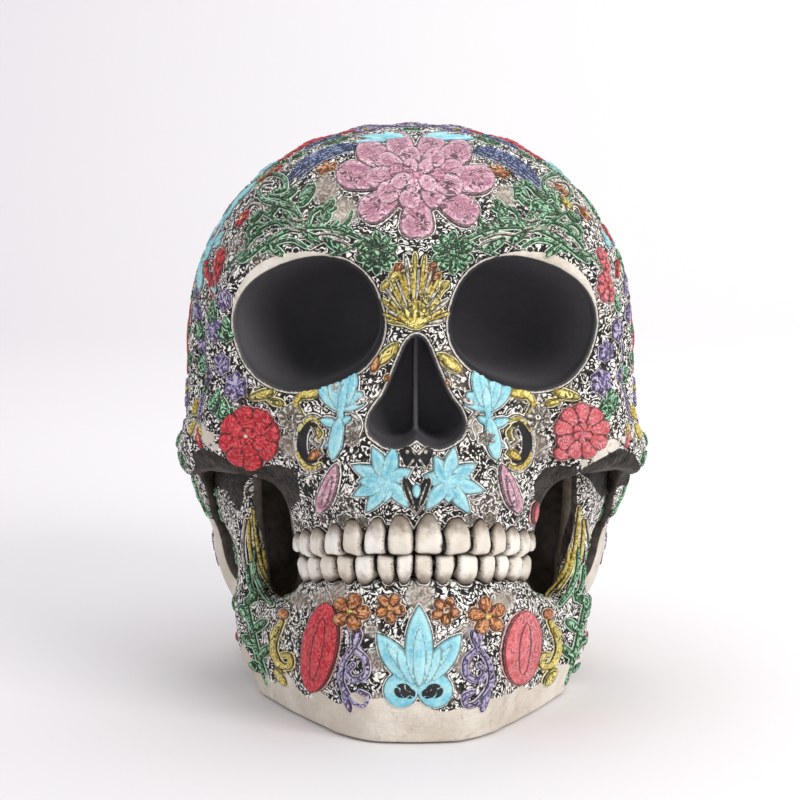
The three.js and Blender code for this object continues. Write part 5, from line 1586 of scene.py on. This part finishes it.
def tooth_material():
    k = Nodes("tooth_resin")
    co = k.coords()
    n_mid = k.noise(co, 420.0, 3.0, 0.6)
    n_fine = k.noise(co, 1500.0, 2.0, 0.6)
    n_big = k.noise(co, 120.0, 2.0, 0.5)
    gap, gum, along, tone = k.attr("gap"), k.attr("gum"), k.attr("along"), k.attr("tone")
    base = k.mix(k.ramp(tone, -1.0, 1.0), lin("#e4dbcd"), lin("#f7f2ea"))
    base = k.mix(k.ramp(n_big, 0.45, 0.75, 0.0, 0.6), base, lin("#c9bba6"))
    # brown wash toward the gum and between the teeth, deepened as painted shade
    g = k.math("ADD", gap, k.math("MULTIPLY", k.math("SUBTRACT", n_mid, 0.5), 0.8))
    side = k.ramp(g, 1.9, 0.3)
    base = k.mix(k.math("MULTIPLY", side, 0.80), base, lin("#766655"))
    base = k.mix(k.math("MULTIPLY", k.math("MULTIPLY", k.ramp(g, 1.9, 0.9), k.ramp(n_fine, 0.52, 0.60)), 0.7), base, lin("#2c231c"))
    base = k.mix(k.ramp(k.math("ADD", along, k.math("MULTIPLY", k.math("SUBTRACT", n_mid, 0.5), 0.6)), 0.42, 0.95, 0.0, 0.86), base, lin("#6e5e4d"))
    r = k.math("ADD", gum, k.math("MULTIPLY", k.math("SUBTRACT", n_mid, 0.5), 0.9))
    base = k.mix(k.math("MULTIPLY", k.ramp(r, 1.7, 0.3), 0.8), base, lin("#6f5d4b"))
    # dark in the slits between the teeth, at the gum and along the biting edge: painted shade
    base = k.mix(k.ramp(k.math("ADD", gap, k.math("MULTIPLY", k.math("SUBTRACT", n_fine, 0.5), 0.4)), 0.80, 0.50), base, lin("#0f0c0a"))
    base = k.mix(k.ramp(r, 0.5, 0.2), base, lin("#0f0c0a"))
    base = k.mix(k.ramp(along, 0.06, -0.02, 0.0, 0.85), base, lin("#4d4034"))
    speck = k.ramp(n_fine, 0.68, 0.74)
    base = k.mix(k.math("MULTIPLY", speck, 0.45), base, lin("#5a4a3a"))
    k.link(base, k.b.inputs["Base Color"])
    k.link(k.math("ADD", 0.36, k.math("MULTIPLY", n_mid, 0.2)), k.b.inputs["Roughness"])
    k.link(k.bump(k.math("ADD", n_mid, k.math("MULTIPLY", n_fine, 0.3)), 0.0002, 0.5), k.b.inputs["Normal"])
    return k.m


def plain_material(name, a, b, rough, scale, bump):
    k = Nodes(name)
    co = k.coords()
    n = k.noise(co, scale, 4.0, 0.65)
    k.link(k.mix(n, lin(a), lin(b)), k.b.inputs["Base Color"])
    k.link(k.math("ADD", rough, k.math("MULTIPLY", n, 0.1)), k.b.inputs["Roughness"])
    k.link(k.bump(n, bump, 0.8), k.b.inputs["Normal"])
    return k.m


def dress(o, mat):
    o.data.materials.clear()
    o.data.materials.append(mat)


SKIN = skin_material("painted_skin")
dress(cranium_obj, SKIN)
dress(jaw_obj, SKIN)
TOOTH = tooth_material()
dress(upper_teeth, TOOTH)
dress(lower_teeth, TOOTH)
FELT = plain_material("felt_fibre", "#141417", "#2a2a2e", 0.9, 2500.0, 0.0003)
RUBBER = plain_material("plug_rubber", "#131315", "#1d1d20", 0.55, 500.0, 0.00005)
WOOD = plain_material("dowel_beech", "#a57c4c", "#c79f6b", 0.6, 300.0, 0.0001)
for n, o in nodes.items():
    if n.startswith("felt_pad"):
        dress(o, FELT)
    elif n == "pour_hole_plug":
        dress(o, RUBBER)
    elif n.startswith("jaw_dowel"):
        dress(o, WOOD)

for o in (cranium_obj, upper_teeth, jaw_obj, lower_teeth):
    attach(o, "root")
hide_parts("cranium_shell")
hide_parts("mandible")


# ---------------------------------------------------------------- floor, light and camera
def backdrop():
    """A pale sweep: floor, then a wide curve up behind."""
    prof = [(-1.6, 0.0), (-0.6, 0.0), (0.0, 0.0), (0.5, 0.0), (0.8, 0.0)]
    for i in range(1, 13):
        a = math.radians(90 * i / 12)
        prof.append((0.8 + 0.5 * math.sin(a), 0.5 - 0.5 * math.cos(a)))
    prof += [(1.3, 1.2), (1.3, 2.2)]
    V, Fc = [], []
    for x in (-2.2, 0.0, 2.2):
        V += [(x, y, z) for y, z in prof]
    n = len(prof)
    for c in range(2):
        for i in range(n - 1):
            Fc.append((c * n + i, (c + 1) * n + i, (c + 1) * n + i + 1, c * n + i + 1))
    me = bpy.data.meshes.new("backdrop")
    me.from_pydata(V, [], Fc)
    me.polygons.foreach_set("use_smooth", [True] * len(me.polygons))
    me.update()
    o = bpy.data.objects.new("backdrop", me)
    bpy.context.scene.collection.objects.link(o)
    k = Nodes("backdrop_paper")
    n = k.noise(k.coords(), 6.0, 2.0, 0.5)
    sep = k.t.nodes.new("ShaderNodeSeparateXYZ")
    k.t.links.new(k.coords(), sep.inputs[0])
    # darker on the left, paler on the right: painted light from the right
    side = k.ramp(k.math("ADD", sep.outputs[0], k.math("MULTIPLY", n, 0.05)), -0.45, 0.45)
    k.link(k.mix(side, lin("#dedbdf"), lin("#f4f2f2")), k.b.inputs["Base Color"])
    k.b.inputs["Roughness"].default_value = 0.9
    k.b.inputs["Specular IOR Level"].default_value = 0.1
    dress(o, k.m)


backdrop()


def area(name, at, to, size, power, colour=(1, 1, 1), size_y=None):
    li = bpy.data.lights.new(name, "AREA")
    li.energy = power
    li.color = colour
    li.shape = "RECTANGLE"
    li.size = size
    li.size_y = size_y or size
    o = bpy.data.objects.new(name, li)
    bpy.context.scene.collection.objects.link(o)
    o.location = at
    o.rotation_mode = "QUATERNION"
    o.rotation_quaternion = (Vector(to) - Vector(at)).to_track_quat("-Z", "Y")
    return o


area("key", (0.75, -0.85, 0.75), (0, 0, 0.08), 0.7, 10.6, (1.0, 0.985, 0.965))
area("fill", (-0.9, -0.7, 0.55), (0, 0, 0.08), 0.9, 2.6, (0.98, 0.985, 1.0))
area("top", (0.0, 0.15, 1.3), (0, 0, 0.1), 1.2, 4.5)
area("back_wash", (0.0, 0.55, 1.1), (0, 1.2, 0.3), 1.6, 6.5)
world = bpy.data.worlds.new("studio")
bpy.context.scene.world = world
world.use_nodes = True
bg = world.node_tree.nodes.get("Background") or world.node_tree.nodes.new("ShaderNodeBackground")
bg.inputs[0].default_value = (0.98, 0.98, 1.0, 1)
bg.inputs[1].default_value = 0.44

bpy.context.scene.view_settings.view_transform = "Standard"

cam_data = bpy.data.cameras.new("photo_camera")
cam = bpy.data.objects.new("photo_camera", cam_data)
bpy.context.scene.collection.objects.link(cam)
cam_data.sensor_width = 36.0
cam_data.lens = 36.0 * CAM_F / 800.0
cam_data.clip_start, cam_data.clip_end = 0.05, 20.0
loc = C_POS / 1000 + np.array([0, SHIFT_Y / 1000, 0])
cam.matrix_world = Matrix(((C_RIGHT[0], C_UP[0], -C_FWD[0], loc[0]), (C_RIGHT[1], C_UP[1], -C_FWD[1], loc[1]), (C_RIGHT[2], C_UP[2], -C_FWD[2], loc[2]), (0, 0, 0, 1)))
bpy.context.scene.camera = cam
